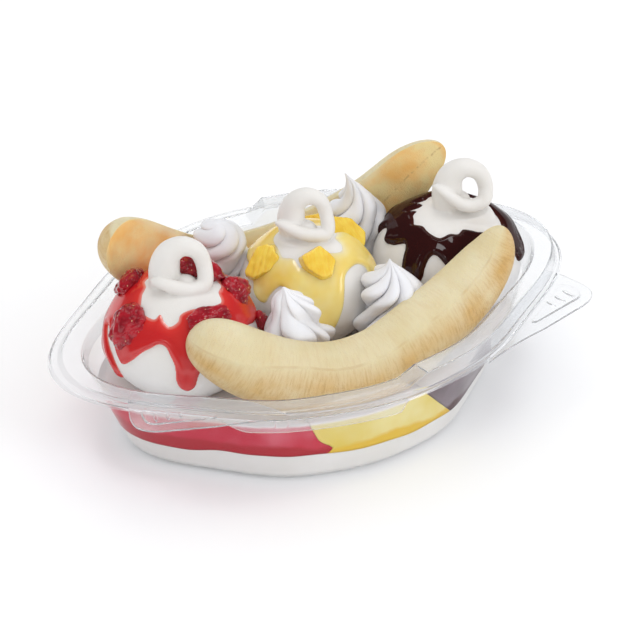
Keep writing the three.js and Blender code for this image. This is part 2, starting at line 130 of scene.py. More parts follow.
world = bpy.data.worlds.new("studio_air")
world.use_nodes = True
air = world.node_tree.nodes["Background"]
air.inputs["Color"].default_value = tint("F9FAFC")
ray = node(world.node_tree, "LightPath").outputs
bounced = maths(world.node_tree, "SUBTRACT", ray["Is Glossy Ray"], ray["Is Transmission Ray"])
mirrored = ranged(world.node_tree, bounced, to_low=AIR_LIGHT, to_high=AIR_MIRRORED)
world.node_tree.links.new(mirrored, air.inputs["Strength"])
scene.world = world

floor_mesh = bpy.data.meshes.new("floor")
ways = [(-1, -1), (1, -1), (1, 1), (-1, 1)]
floor_mesh.from_pydata([(x * FLOOR_SIDE / 2, y * FLOOR_SIDE / 2, 0) for x, y in ways], [], [(0, 1, 2, 3)])
floor = bpy.data.objects.new("floor", floor_mesh)
scene.collection.objects.link(floor)
pale, tree = new_material("pale_floor")
surface(tree, {"Base Color": "FDFDFD", "Roughness": 0.9, "Specular IOR Level": 0.1})
floor_mesh.materials.append(pale)


# ---- The boat ----
# One sheet of clear plastic, 0.9 mm thick, drawn into an eye-shaped boat. Half of its rim is raised in a
# bead and the other half has a low ledge, so that two boats lock rim to rim, and a thumb tab with a
# raised ribbed panel stands out at each front corner.
FLANGE_LEVEL = 44.3  # height of the flange above the table
SHEET = 0.9
FLOOR = -43.4
CORNER_TOP = FLOOR + 3.6
CORNER_DRAW = 4  # how much narrower the boat is at the foot of its rounded corner
WALL_TOP = -3  # where the straight wall ends and the rim starts to turn out
FLANGE_OUTLINE = [91.5, 15.8, 5.3, 2.6, 1.1]
BASE_OUTLINE = [67.8, 9.0, 2.95, 1.8, 0.7]
WALL_INSET = 15.5
LEDGE_RISE, BEAD_RISE = 1.0, 6.0
RIM_INNER = (14.2, 12)  # from the flange's edge in to the rim's inner side, at the ledge and at the bead
RIM_OUTER = (5.5, 3.6)
JOG = (11, 19)  # where along the boat the rim climbs from its low to its raised half
EDGE_DROP, SKIRT_DROP = 1.2, 4.6
SKIRT_START, SKIRT_END = (-72, -60), (2, 6)  # where along the boat the skirt grows and fades
TAB_LEVELS = (-0.86, -0.06, 0.3)  # its lower face, its upper face, and how wide their edges slope
PANEL_LEVELS = (-0.6, 0.6, 0.7)
RIB_LEVELS = (0.3, 1.1, 0.4)
LEFT_TAB_INWARDS = 7.5
GRIP_RIBS = 3
FIRST_RIB = (101, -43.5)
RIB_STEP = (-5, -1.6)
RIB_HALF = (3.5, 0.8)  # each rib is half a millimetre shorter than the last
RIB_LEAN = 0.35
CORNER_STEPS = 6
SECTIONS = 420
SHARP_BEND = np.radians(24)  # a bend of the plastic that is sharper than this shows as an edge
WET_LEVEL = -14.5  # below it the contents lie against the plastic, and above it both sides are dry and hazy
RIM_LEVEL = -6.0  # above it the plastic is the milky rim


def smooth(value, low, high):
    """0 below low and 1 above high, with a smooth cubic rise between them."""
    share = np.clip((value - low) / (high - low), 0, 1)
    return share * share * (3 - 2 * share)


def mix(low, high, share):
    """The value a share of the way from low to high."""
    return low + (high - low) * share


def outline(terms, angle):
    """Radius of an eye-shaped outline: a mean plus cosines of 2, 4, 6 and 8 times the angle."""
    return sum(term * np.cos(2 * k * angle) for k, term in enumerate(terms))


def wall_radius(angle, height):
    """Radius of the wall's inner face: it leans straight out from the base to the rim, and rounds in
    by the square of the depth below the corner's top."""
    foot = outline(BASE_OUTLINE, angle)
    head = outline(FLANGE_OUTLINE, angle) - WALL_INSET
    corner = np.maximum(0, CORNER_TOP - height) / (CORNER_TOP - FLOOR)
    return mix(foot, head, np.maximum(0, height - CORNER_TOP) / -CORNER_TOP) - CORNER_DRAW * corner**2


def boat_corners(angle):
    """The corners of the upper face from the floor out over the rim, [corner, angle, (radius, height)],
    with how far along its sides each corner is rounded."""
    edge = outline(FLANGE_OUTLINE, angle)
    along = edge * np.cos(angle)
    raised = np.clip((along - JOG[0]) / (JOG[1] - JOG[0]), 0, 1)
    top = mix(LEDGE_RISE, BEAD_RISE, raised)
    inner = edge - mix(*RIM_INNER, raised)
    outer = edge - mix(*RIM_OUTER, raised)
    front = np.where(np.sin(angle) < 0, 1, 0)
    drop = EDGE_DROP + SKIRT_DROP * front * smooth(along, *SKIRT_START) * (1 - smooth(along, *SKIRT_END))
    places = [
        (0.5 * wall_radius(angle, FLOOR), FLOOR, 1),
        (wall_radius(angle, FLOOR), FLOOR, 1.5),
        (wall_radius(angle, FLOOR + 1.2), FLOOR + 1.2, 0.8),
        (wall_radius(angle, CORNER_TOP), CORNER_TOP, 1.5),
        (wall_radius(angle, WALL_TOP), WALL_TOP, 1.5),
        (inner - 1, top - 0.9, 0.6),
        (inner, top, 0.6),
        (outer, top, 0.6),
        (outer + 1.4, 0, 0.6),
        (edge - 0.4, 0, 0.7),
        (edge + 0.5, -drop, 1),
    ]
    corners = [np.stack(np.broadcast_arrays(radius, height), -1) for radius, height, _ in places]
    return np.array(corners), [reach for *_, reach in places]


def rounded(corners, reaches):
    """Every inner corner becomes a quadratic curve between the points a short reach along its sides."""
    rows = [corners[0]]
    share = np.linspace(0, 1, CORNER_STEPS)[:, None, None]
    for before, corner, after, reach in zip(corners, corners[1:], corners[2:], reaches[1:]):
        sides = []
        for other in (before, after):
            length = np.linalg.norm(other - corner, axis=-1, keepdims=True)
            sides.append(corner + (other - corner) * np.minimum(reach / length, 0.45))
        start, end = sides
        rows.extend((1 - share) ** 2 * start + 2 * share * (1 - share) * corner + share**2 * end)
    return np.array([*rows, corners[-1]])


def sideways(line, distance):
    """A line of points moved to the right of the way it runs, square to it."""
    ahead = np.gradient(line, axis=0)
    ahead /= np.linalg.norm(ahead, axis=-1, keepdims=True)
    return line + distance * np.stack([ahead[..., 1], -ahead[..., 0]], -1)


def around_axis(line, angle):
    """[row, angle, (radius, height)] as points [row, angle, (x, y, z)]."""
    return np.stack([line[..., 0] * np.cos(angle), line[..., 0] * np.sin(angle), line[..., 1]], -1)


def skin(rings, closed=False):
    """Vertices and faces over rings of points. Each ring runs anticlockwise seen from the last one. A
    closed skin joins its last ring to its first, and any other is shut by a point amid each end ring."""
    count, around = rings.shape[:2]
    index = np.arange(count * around).reshape(count, around)
    lower, upper = (index, np.roll(index, -1, 0)) if closed else (index[:-1], index[1:])
    faces = np.stack([lower, np.roll(lower, -1, 1), np.roll(upper, -1, 1), upper], -1).reshape(-1, 4).tolist()
    points = rings.reshape(-1, 3)
    if closed:
        return points, faces
    first, last = index[0], index[-1]
    ends = np.stack([rings[0].mean(0), rings[-1].mean(0)])
    faces += np.stack([np.roll(first, -1), first, np.full(around, count * around)], -1).tolist()
    faces += np.stack([last, np.roll(last, -1), np.full(around, count * around + 1)], -1).tolist()
    return np.vstack([points, ends]), faces


def dress(piece, *materials):
    """Gives a piece these materials in place of any that it has."""
    piece.data.materials.clear()
    for material in materials:
        piece.data.materials.append(material)


def new_piece(name, shape, *materials):
    """An object in the frame's metres from (vertices, faces) in millimetres from the flange."""
    points, faces = shape
    mesh = bpy.data.meshes.new(name)
    mesh.from_pydata(((points + (0, 0, FLANGE_LEVEL)) * 0.001).tolist(), [], faces)
    mesh.shade_smooth()
    made = bpy.data.objects.new(name, mesh)
    dress(made, *materials)
    scene.collection.objects.link(made)
    return made


def apply_modifiers(piece):
    """The piece's mesh becomes what its modifiers make of it, and they are taken off."""
    shaped = bpy.data.meshes.new_from_object(piece.evaluated_get(bpy.context.evaluated_depsgraph_get()))
    piece.modifiers.clear()
    piece.data = shaped


def combine(piece, others, operation):
    """The piece joined with, or cut down to, the others, which are then gone."""
    for other in others:
        step = piece.modifiers.new(operation, "BOOLEAN")
        step.operation = operation
        step.solver = "MANIFOLD"
        step.object = other
    apply_modifiers(piece)
    for other in others:
        bpy.data.objects.remove(other)


def finish_piece(piece, slot, *nodes):
    """Rides with the boat, and stands for the nodes of the frame named here. Its slot is not used."""
    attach(piece, "root")
    if nodes:
        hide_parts(*nodes)


def plate(side, line, bottom, top, edge):
    """A flat plate from its outline: rings drawn in towards the middle by an edge at its two faces. The
    left tab is the right one's mirror image, set nearer to the middle."""
    line = (np.array(line, float) - (0 if side > 0 else LEFT_TAB_INWARDS, 0)) * (side, 1)
    if side < 0:
        line = line[::-1]
    middle = line.mean(0)
    reach = np.linalg.norm(line - middle, axis=-1, keepdims=True)
    inner = middle + (line - middle) * (1 - edge / reach)
    levels = [(inner, bottom), (line, bottom + edge / 2), (line, top - edge / 2), (inner, top)]
    return skin(np.array([np.column_stack([ring, np.full(len(ring), height)]) for ring, height in levels]))


def bent(start, control, end, steps=9):
    """Points of a quadratic curve from just past its start to its end."""
    share = np.linspace(0, 1, steps)[1:, None]
    start, control, end = map(np.array, (start, control, end))
    return ((1 - share) ** 2 * start + 2 * share * (1 - share) * control + share**2 * end).tolist()


def turns(count):
    """Angles in even steps once round."""
    return np.linspace(0, 2 * np.pi, count, endpoint=False)


boat_angle = turns(SECTIONS)
half_way = SECTIONS // 2
for first, way in ((0, -1), (half_way, 1)):  # the jog's ends get a section of their own, back and front
    half_angle = boat_angle[first:first + half_way]
    along = outline(FLANGE_OUTLINE, half_angle) * np.cos(half_angle) * way
    for end in np.interp(np.array(JOG) * way, along, half_angle):
        boat_angle[first + np.abs(half_angle - end).argmin()] = end

upper = rounded(*boat_corners(boat_angle))
under = sideways(upper, SHEET)
boat = new_piece("boat_shell", skin(around_axis(np.concatenate([under, upper[::-1]]), boat_angle)))

tab_line = [
    (101, -22), *bent((101, -22), (106, -27), (107.5, -32)),
    *bent((107.5, -32), (112.5, -42), (110.5, -46.5)), *bent((110.5, -46.5), (108.5, -51), (101, -53.5)),
    (80, -60.5), *bent((80, -60.5), (62, -64.5), (48, -71.5)), (60, -52),
][::-1]
panel_line = [
    (78.5, -52.5), (101, -35), *bent((101, -35), (104.5, -36), (105.5, -40)),
    (106, -44), *bent((106, -44), (105.5, -47.5), (101, -48.5)),
    (80, -55), *bent((80, -55), (76.5, -55.5), (78.5, -52.5))[:-1],
][::-1]
turn = turns(24)
tab_pieces = []
for side in (1, -1):
    tab_pieces.append(new_piece("tab", plate(side, tab_line, *TAB_LEVELS)))
    tab_pieces.append(new_piece("panel", plate(side, panel_line, *PANEL_LEVELS)))
    for rib in range(GRIP_RIBS):
        along, across = (RIB_HALF[0] - rib / 2) * np.sin(turn), RIB_HALF[1] * np.cos(turn)
        line = np.column_stack([
            FIRST_RIB[0] + RIB_STEP[0] * rib + across * np.cos(RIB_LEAN) - along * np.sin(RIB_LEAN),
            FIRST_RIB[1] + RIB_STEP[1] * rib + across * np.sin(RIB_LEAN) + along * np.cos(RIB_LEAN),
        ])
        tab_pieces.append(new_piece("rib", plate(side, line, *RIB_LEVELS)))
combine(boat, tab_pieces, "UNION")
boat.data.set_sharp_from_angle(angle=SHARP_BEND)


def place_in(tree):
    """Where a point lies in the frame, in metres."""
    return node(tree, "TexCoord").outputs["Object"]


def noise(tree, place, scale, detail=2.0, roughness=0.5):
    """Soft random clouds at a place."""
    values = {"Vector": place, "Scale": scale, "Detail": detail, "Roughness": roughness}
    return node(tree, "TexNoise", values).outputs["Fac"]


def relief(tree, height, strength, distance):
    """The way a surface faces once a height has roughened it."""
    values = {"Height": height, "Strength": strength, "Distance": distance}
    return node(tree, "Bump", values).outputs["Normal"]


def plastic(name, colour, transmission, least_rough, most_rough):
    """Clear plastic whose surface wavers a little and scatters more light in some places than others."""
    made, tree = new_material(name)
    waver = noise(tree, place_in(tree), 45.0)
    clear = node(tree, "BsdfPrincipled", {
        "Base Color": colour, "Roughness": ranged(tree, waver, to_low=least_rough, to_high=most_rough),
        "IOR": 1.4, "Transmission Weight": transmission, "Normal": relief(tree, waver, 0.12, 0.0008),
    })
    shade = node(tree, "BsdfTransparent", {"Color": "F6F7F9"})
    ray = node(tree, "LightPath").outputs
    passing = maths(tree, "MAXIMUM", ray["Is Shadow Ray"], ray["Is Diffuse Ray"])
    through = node(tree, "MixShader", {"Fac": passing, 1: clear.outputs["BSDF"], 2: shade.outputs["BSDF"]})
    node(tree, "OutputMaterial", {"Surface": through.outputs["Shader"]})
    return made


dress(
    boat,
    plastic("wet_plastic", "FFFFFF", 1.0, 0.0, 0.03),
    plastic("dry_plastic", "F6F7F8", 0.94, 0.04, 0.12),
    plastic("rim_plastic", "F5F6F7", 0.89, 0.06, 0.15),
)
heights = np.empty((len(boat.data.polygons), 3))
boat.data.polygons.foreach_get("center", heights.ravel())
heights = heights[:, 2] * 1000 - FLANGE_LEVEL
boat.data.polygons.foreach_set("material_index", (heights > WET_LEVEL) * 1 + (heights > RIM_LEVEL) * 1)
finish_piece(boat, "clear_plastic", "boat")


# ---- The bed of soft serve ----
# White soft serve pressed flat into the bottom of the boat. It touches the plastic all round, so it
# reaches a little way into the wall, and its top rises and falls where the syrups were poured on it.
INTO_WALL = 0.25
BED_LEVEL = -32.0
BED_FALL = 0.028  # how much lower it lies for each millimetre to the right
BED_DIP = 3.0  # how much lower it lies at the left end
DIP_ALONG = (50, 80)  # from where to where it dips, left of the middle
BED_WAVES = (0.45, 26)  # their height and length


def swells(points, size, seed, count=20):
    """A smooth random field of about unit height: the mean of sine waves in seeded random directions."""
    draw = np.random.default_rng(seed)
    ways = draw.normal(size=(points.shape[-1], count))
    ways *= draw.uniform(0.6, 1.5, count) / np.linalg.norm(ways, axis=0) * 2 * np.pi / size
    return np.sin(points @ ways + draw.uniform(0, 2 * np.pi, count)).mean(-1) * np.sqrt(count / 2)


def bed_top(x, y):
    """The bed's level at a place: a slope along the boat with low soft waves, and a dip at its left end."""
    height, length = BED_WAVES
    waves = height * swells(np.stack([x, y], -1), length, seed=3)
    return BED_LEVEL - BED_FALL * x - BED_DIP * smooth(-x, *DIP_ALONG) + waves


def filled(bottom, top, rows=14, across=10):
    """What fills the boat between two level functions: rings up the wall, and rings drawn in over the
    bottom and the top."""
    angle = turns(360)

    def ring(radius, height):
        return np.stack([radius * np.cos(angle), radius * np.sin(angle), height], -1)

    def level(function, share):
        radius = (wall_radius(angle, BED_LEVEL) + INTO_WALL) * share
        height = function(radius * np.cos(angle), radius * np.sin(angle))
        return (wall_radius(angle, height) + INTO_WALL) * share, height

    rings = [ring(*level(bottom, share)) for share in np.linspace(0.1, 1, across)[:-1]]
    low, high = level(bottom, 1)[1], level(top, 1)[1]
    for share in np.linspace(0, 1, rows):
        height = mix(low, high, share)
        rings.append(ring(wall_radius(angle, height) + INTO_WALL, height))
    rings += [ring(*level(top, share)) for share in np.linspace(1, 0.1, across)[1:]]
    return skin(np.array(rings))


def blended(tree, share, first, second):
    """The first colour, and a share of the second."""
    values = {"Factor": share, 6: first, 7: second}
    return node(tree, "Mix", values, data_type="RGBA").outputs[2]


def group(name, inputs, outputs):
    """A shader node group with named sockets: its tree, what it is given, and what it puts out."""
    made = bpy.data.node_groups.new(name, "ShaderNodeTree")
    for sockets, way in ((inputs, "INPUT"), (outputs, "OUTPUT")):
        for socket, kind in sockets.items():
            made.interface.new_socket(socket, in_out=way, socket_type="NodeSocket" + kind)
    return made, made.nodes.new("NodeGroupInput").outputs, made.nodes.new("NodeGroupOutput").inputs


# Two colours that drift into each other in clouds, with a fine grain for the surface's height.
scales = {"Cloud Scale": "Float", "Grain Scale": "Float", "Shift": "Float"}
mottle, given, result = group(
    "mottle", {"Vector": "Vector", "First": "Color", "Second": "Color", **scales},
    {"Color": "Color", "Cloud": "Float", "Grain": "Float"},
)
shifted = maths(mottle, "ADD", noise(mottle, given["Vector"], given["Cloud Scale"], 3.0), given["Shift"])
clouds = ranged(mottle, shifted, 0.35, 0.65)
mottle.links.new(blended(mottle, clouds, given["First"], given["Second"]), result["Color"])
mottle.links.new(clouds, result["Cloud"])
mottle.links.new(noise(mottle, given["Vector"], given["Grain Scale"], 4.0), result["Grain"])


def mottled(tree, place, first, second, cloud_scale, grain_scale, shift=0.0):
    """What the mottle group puts out in a material."""
    return node(tree, "Group", {
        "Vector": place, "First": first, "Second": second, "Cloud Scale": cloud_scale,
        "Grain Scale": grain_scale, "Shift": shift,
    }, node_tree=mottle).outputs


def soft_material(name, first, second, grain_scale, grain_depth, roughness, spread):
    """Frozen cream: nearly white, its light spread below the surface, satin, with a fine grain."""
    made, tree = new_material(name)
    body = mottled(tree, place_in(tree), first, second, 60.0, grain_scale)
    surface(tree, {
        "Base Color": body["Color"], "Normal": relief(tree, body["Grain"], 0.5, grain_depth), "IOR": 1.36,
        "Roughness": ranged(tree, body["Grain"], to_low=roughness - 0.08, to_high=roughness + 0.1),
        "Subsurface Weight": spread, "Subsurface Radius": (0.9, 0.85, 0.8), "Subsurface Scale": 0.002,
    })
    return made


soft_serve = soft_material("soft_serve", "E8E5E1", "E3E0DB", 2600.0, 0.00025, 0.42, 0.3)


def bed_bottom(x, y):
    """The boat's flat floor."""
    return np.full(np.shape(x), FLOOR - INTO_WALL)


bed = new_piece("soft_serve_fill", filled(bed_bottom, bed_top), soft_serve)
finish_piece(bed, "soft_serve", "soft_serve_bed")


# ---- The coloured layers ----
# Strawberry, pineapple and chocolate lie side by side on the bed and meet in leaning, wavering seams.
# Against the plastic each is clear and bright along its foot, where the syrup has run down, and hazy
# with melted soft serve above.
LAYER_LEVEL = -14.0
LAYER_WAVES = (0.3, 18)  # their height and length
SEAMS = {"strawberry": -24, "pineapple": 38}
SEAM_GAP = 0.1
SEAM_WAVE = (3, 13)  # how far a seam swings to each side, and the length of a radian of its wave
TONGUE = (4, -28.8, 3)  # the red tongue's length, its level, and about half its height
FIRST_LEAN, SECOND_LEAN = 0.45, 0.9  # how far the seams lean to the left for each millimetre up
PAST_THE_BOAT = 130
FOOT_WANDER = 0.009  # how far a layer's foot rises and falls, in metres
FOOT_EDGE = (0.0011, 0.0009)  # how far over and under its foot's top the colour fades
FILM = (0.0016, 0.0006)  # how far under the layer's top the melted film starts, and is whole


def layer_top(x, y):
    """The layers' level: the boat is filled to it in low soft waves."""
    height, length = LAYER_WAVES
    return LAYER_LEVEL + height * swells(np.stack([x, y], -1), length, seed=8)


def layer_bottom(x, y):
    """The layers' underside, a hair above the bed."""
    return bed_top(x, y) + 0.02


def seam_wave(flavour, y):
    """A seam's wave across the boat, without its lean."""
    swing, length = SEAM_WAVE
    return SEAMS[flavour] + swing * np.sin(y / length + SEAMS[flavour])


def first_seam(y, z):
    """Where strawberry meets pineapple, with a tongue of red low down: a bell over the height. Above
    the tongue the seam leans."""
    length, level, half = TONGUE
    tongue = length * np.exp(-(((z - level) / half) ** 2))
    return seam_wave("strawberry", y) + (tongue - FIRST_LEAN * np.maximum(0, z + 28))


def second_seam(y, z):
    """Where pineapple meets chocolate, which leans to the left as it rises."""
    return seam_wave("pineapple", y) - SECOND_LEAN * (z + 33)


def between(left, right):
    """A slab across the boat between two seams, each a function of the place across and the height."""
    heights = np.linspace(FLOOR, 5, 40)
    rings = []
    for y in np.linspace(80, -80, 60):
        near, far = left(y, heights) + SEAM_GAP, right(y, heights) - SEAM_GAP
        x = np.r_[near, far[::-1]]
        rings.append(np.column_stack([x, np.full(len(x), y), np.r_[heights, heights[::-1]]]))
    return skin(np.array(rings)[:, ::-1])


def layer_material(name, foot, body, cloud, foot_height, cloud_shift):
    """A syrup layer against plastic: its foot's colour rises a few millimetres above the bed with a
    ragged edge, above it the body drifts into a paler, hazier colour, and a film of melted soft serve
    lies on top."""
    made, tree = new_material(name)
    place = place_in(tree)
    hazy = mottled(tree, place, body, cloud, 38.0, 900.0, cloud_shift)
    parts = node(tree, "SeparateXYZ", {"Vector": place}).outputs
    above_bed = maths(tree, "MULTIPLY_ADD", parts["X"], BED_FALL, parts["Z"])
    ragged = maths(tree, "MULTIPLY_ADD", noise(tree, place, 60.0, 4.0), -FOOT_WANDER, above_bed)
    foot_top = (FLANGE_LEVEL + BED_LEVEL + foot_height) * 0.001 - FOOT_WANDER / 2
    foot_share = ranged(tree, ragged, foot_top + FOOT_EDGE[0], foot_top - FOOT_EDGE[1])
    footed = blended(tree, foot_share, hazy["Color"], foot)
    top = (FLANGE_LEVEL + LAYER_LEVEL) * 0.001
    filmed = blended(tree, ranged(tree, parts["Z"], top - FILM[0], top - FILM[1]), footed, "E9E0DC")
    surface(tree, {
        "Base Color": filmed, "Roughness": 0.3, "Normal": relief(tree, hazy["Grain"], 0.3, 0.0003),
        "Subsurface Weight": 0.15, "Subsurface Radius": (1.0, 0.5, 0.4), "Subsurface Scale": 0.0015,
        "IOR": 1.36,
    })
    return made


LAYERS = {  # a layer's two sides, and its foot, body and haze
    "strawberry": (lambda y, z: 0 * z - PAST_THE_BOAT, first_seam, "AE0C22", "C4223C", "D96C7C", 4.6, -0.1),
    "pineapple": (first_seam, second_seam, "E0B834", "DEC454", "E8D994", 3.4, 0.0),
    "chocolate": (second_seam, lambda y, z: 0 * z + PAST_THE_BOAT, "4A2228", "625257", "8D8086", 3.0, 0.0),
}
for flavour, (left, right, *look) in LAYERS.items():
    layer = new_piece(f"{flavour}_fill", filled(layer_bottom, layer_top))
    combine(layer, [new_piece("slab", between(left, right))], "INTERSECT")
    dress(layer, layer_material(f"{flavour}_layer", *look))
    finish_piece(layer, flavour, f"{flavour}_layer")


# ---- The bananas ----
# A peeled banana halved lengthwise: one half lies along the front with its round side out, and the
# other along the back shows its cut face. The round side keeps a soft ridge and short fibre marks
# across it. The cut face is golden inside a pale rim, with a broken dark line along the core.
BANANA_RADIUS = 15.4
BANANA_ROWS, BANANA_AROUND = 260, 160
RIDGE = (0.04, 9)  # its rise over the radius, and how many degrees round the fruit it fades in
RIDGE_TURNS = 40  # how many degrees the ridge comes round towards the left end
FAR_RIDGE = (0.02, 62, 12)  # a softer one: its rise, how far round from the first it lies, and its width
ROUND_SIDE_WAVES = (0.012, 22)  # their height over the radius, and their length
CUT_SIDE_WAVES = (0.03, 14)
CUT_DEPTH = 0.05  # how far the cut face stands out from the core's line, over the radius
BANANAS = {
    "front": {
        "out": -1, "lean": 14, "bluntness": (9, 5), "ridge": -28, "seed": 11,
        "path": [
            (-68, -24, 22), (-59, -31.5, 17.5), (-47, -37.9, 9.6), (-32, -43.2, 2.2), (-14, -46.5, -2.5),
            (7, -46.5, -2), (30, -42, 4), (54, -34.4, 10.5), (70, -29, 19.5), (79.5, -26, 31),
        ],
    },
    "back": {
        "out": 1, "lean": -20, "bluntness": (12, 5), "ridge": 20, "seed": 12,
        "path": [
            (-77, 27.4, 42.5), (-64, 31, 30), (-48, 36, 15.8), (-32, 41.5, 3.5), (-12, 45.8, -5.4),
            (12, 45.8, -6.6), (33, 41.8, 0), (52, 35.4, 12.9), (68, 31.4, 29.3), (80, 28.5, 39.5),
        ],
    },
}


def curve_through(places, steps=40):
    """A smooth curve through places: between two of them a cubic whose end slopes come from their neighbours,
    weighed by the square roots of the distances."""
    places = np.array(places, float)
    padded = np.vstack([2 * places[0] - places[1], places, 2 * places[-1] - places[-2]])
    span = np.sqrt(np.linalg.norm(np.diff(padded[:, :3], axis=0), axis=1))[:, None]
    step = np.diff(padded, axis=0) / span
    wide = (padded[2:] - padded[:-2]) / (span[1:] + span[:-1])
    slope = step[:-1] - wide + step[1:]
    share = np.linspace(0, 1, steps, endpoint=False)[None, :, None]
    start, end = places[:-1, None], places[1:, None]
    away, into = (slope[:-1] * span[1:-1])[:, None], (slope[1:] * span[1:-1])[:, None]
    body = (2 * share**3 - 3 * share**2 + 1) * start + (share**3 - 2 * share**2 + share) * away
    body = body + (3 * share**2 - 2 * share**3) * end + (share**3 - share**2) * into
    return np.vstack([body.reshape(-1, places.shape[1]), places[-1:]])


def evenly(line, shares):
    """Points of a line at shares of its length."""
    length = np.r_[0, np.cumsum(np.linalg.norm(np.diff(line[:, :3], axis=0), axis=1))]
    return np.column_stack([np.interp(shares * length[-1], length, column) for column in line.T]), length[-1]


def unit(vectors):
    """Vectors drawn out or in to a length of 1."""
    return vectors / np.linalg.norm(vectors, axis=-1, keepdims=True)


def banana_half(half):
    """Half a round section carried along a curve: a full half circle on its out side, a nearly flat cut
    on the other, drawn to nothing at both ends by a high power of the distance from the middle. Also
    where every point lies in the straightened fruit, across, outwards and along it, and how many degrees
    it lies below the ridge."""
    along = 0.5 - 0.5 * np.cos(np.linspace(0.03, np.pi - 0.03, BANANA_ROWS))
    line, length = evenly(curve_through(half["path"]), along)
    ahead = unit(np.gradient(line, axis=0))
    lean = np.radians(half["lean"])
    out = np.array([0, half["out"] * np.cos(lean), np.sin(lean)])
    out = unit(out - (ahead @ out)[:, None] * ahead)
    across = np.cross(ahead, out)
    angle = turns(BANANA_AROUND)
    power = np.where(along < 0.5, *half["bluntness"])
    girth = np.sqrt(np.maximum(0, 1 - np.abs(2 * along - 1) ** power))
    radius = (BANANA_RADIUS * (0.93 + 0.07 * np.sin(np.pi * along)) * girth)[:, None]
    turn = np.degrees((angle + np.pi) % (2 * np.pi) - np.pi)
    ridge_turn = half["ridge"] + RIDGE_TURNS * (1 - smooth(along, 0.05, 0.3))[:, None]
    ridge = RIDGE[0] * np.exp(-np.abs(turn - ridge_turn) / RIDGE[1])
    rise, apart, wide = FAR_RIDGE
    far_ridge = rise * np.exp(-(((turn - ridge_turn - apart) / wide) ** 2))
    far = (along * length)[:, None] + 0 * angle
    straight = np.stack([radius * np.sin(angle), radius * np.cos(angle), far], -1)
    uneven = ROUND_SIDE_WAVES[0] * swells(straight, ROUND_SIDE_WAVES[1], half["seed"])
    round_side = 1 + ridge + far_ridge + uneven
    waves = CUT_SIDE_WAVES[0] * swells(straight, CUT_SIDE_WAVES[1], half["seed"] + 1)
    cut_side = CUT_DEPTH + waves * (1 - np.abs(np.sin(angle)) ** 3)
    depth = radius * np.cos(angle) * np.where(np.cos(angle) > 0, round_side, cut_side)
    width = radius * np.sin(angle) * np.where(np.cos(angle) > 0, 1 + (ridge + uneven) * np.cos(angle), 1)
    rings = line[:, None] + out[:, None] * depth[..., None] + across[:, None] * width[..., None]
    below = -half["out"] * (turn - ridge_turn)
    return skin(rings[:, ::-1]), straight[:, ::-1], below[:, ::-1]


def keep_places(piece, name, places):
    """Stores a vector for every vertex as an attribute that the material reads; the two end points,
    which skin() adds, take the mean of the end rings."""
    ends = np.stack([places[0].mean(0), places[-1].mean(0)])
    values = np.vstack([places.reshape(-1, 3), ends]).astype(np.float32)
    piece.data.attributes.new(name, "FLOAT_VECTOR", "POINT").data.foreach_set("vector", values.ravel())


def keep_share(piece, name, share):
    """Stores a number for every vertex as an attribute that the material reads."""
    values = share.astype(np.float32).ravel()
    piece.data.attributes.new(name, "FLOAT", "POINT").data.foreach_set("value", values)


banana, tree = new_material("banana_flesh")
place = node(tree, "Attribute", attribute_name="straightened").outputs["Vector"]
below = node(tree, "Attribute", attribute_name="below_ridge").outputs["Fac"]
parts = node(tree, "SeparateXYZ", {"Vector": place}).outputs
body = mottled(tree, place, "E6DEBC", "DED1A6", 0.035, 2.2)

# Pale above the ridge and golden below it, in soft patches.
patch = noise(tree, place, 0.06)
golden = maths(tree, "MULTIPLY", ranged(tree, below, 0.0, 30.0, 0.22), ranged(tree, patch, 0.3, 0.65, 0.4))
warm = blended(tree, golden, body["Color"], "D4AC6A")

# Short fibre marks across the round side, below the ridge: noise drawn out round the fruit. The ridge
# itself is a thin brownish line, broken by the patches.
squeeze = node(tree, "Mapping", {"Vector": place, "Scale": (0.16, 0.16, 1.2)}).outputs["Vector"]
fibre = noise(tree, squeeze, 1.0, 4.0, 0.7)
marks = maths(tree, "MULTIPLY", ranged(tree, fibre, 0.46, 0.64, 0.0, 0.8), golden)
on_ridge = ranged(tree, maths(tree, "ABSOLUTE", below), 3.2, 1.2)
ridge_line = maths(tree, "MULTIPLY", on_ridge, ranged(tree, patch, 0.4, 0.62, 0.0, 0.3))
marked = blended(tree, maths(tree, "MAXIMUM", marks, ridge_line), warm, "BE9559")

# The cut face: pale gold with orange clouds, a pale rim, and a few dashes of the core near the right end.
gold = mottled(tree, place, "FFE6A8", "FFC878", 0.07, 1.6)
off_core = maths(tree, "ABSOLUTE", parts["X"])
rimmed = blended(tree, ranged(tree, off_core, 10.5, 13.5), gold["Color"], "FFEBBC")
near_end = ranged(tree, parts["Z"], 150.0, 166.0, 0.0, 0.5)
core = maths(tree, "MULTIPLY", ranged(tree, off_core, 0.7, 0.1), near_end)
dashes = ranged(tree, noise(tree, place, 0.55, 3.0), 0.48, 0.62)
cored = blended(tree, maths(tree, "MULTIPLY", core, dashes), rimmed, "B98B50")

skin_height = maths(tree, "MULTIPLY_ADD", fibre, 0.5, body["Grain"])
surface(tree, {
    "Base Color": blended(tree, ranged(tree, parts["Y"], 0.3, -0.8), marked, cored), "IOR": 1.38,
    "Roughness": ranged(tree, fibre, to_low=0.38, to_high=0.55),
    "Normal": relief(tree, skin_height, 0.7, 0.0006),
    "Subsurface Weight": 0.2, "Subsurface Radius": (1.0, 0.75, 0.4), "Subsurface Scale": 0.0015,
})

for name, half in BANANAS.items():
    shape, straight, below = banana_half(half)
    piece = new_piece(f"{name}_banana_half", shape, banana)
    keep_places(piece, "straightened", straight)
    keep_share(piece, "below_ridge", np.r_[below.ravel(), 0, 0])
    finish_piece(piece, "banana", f"banana_{name}")


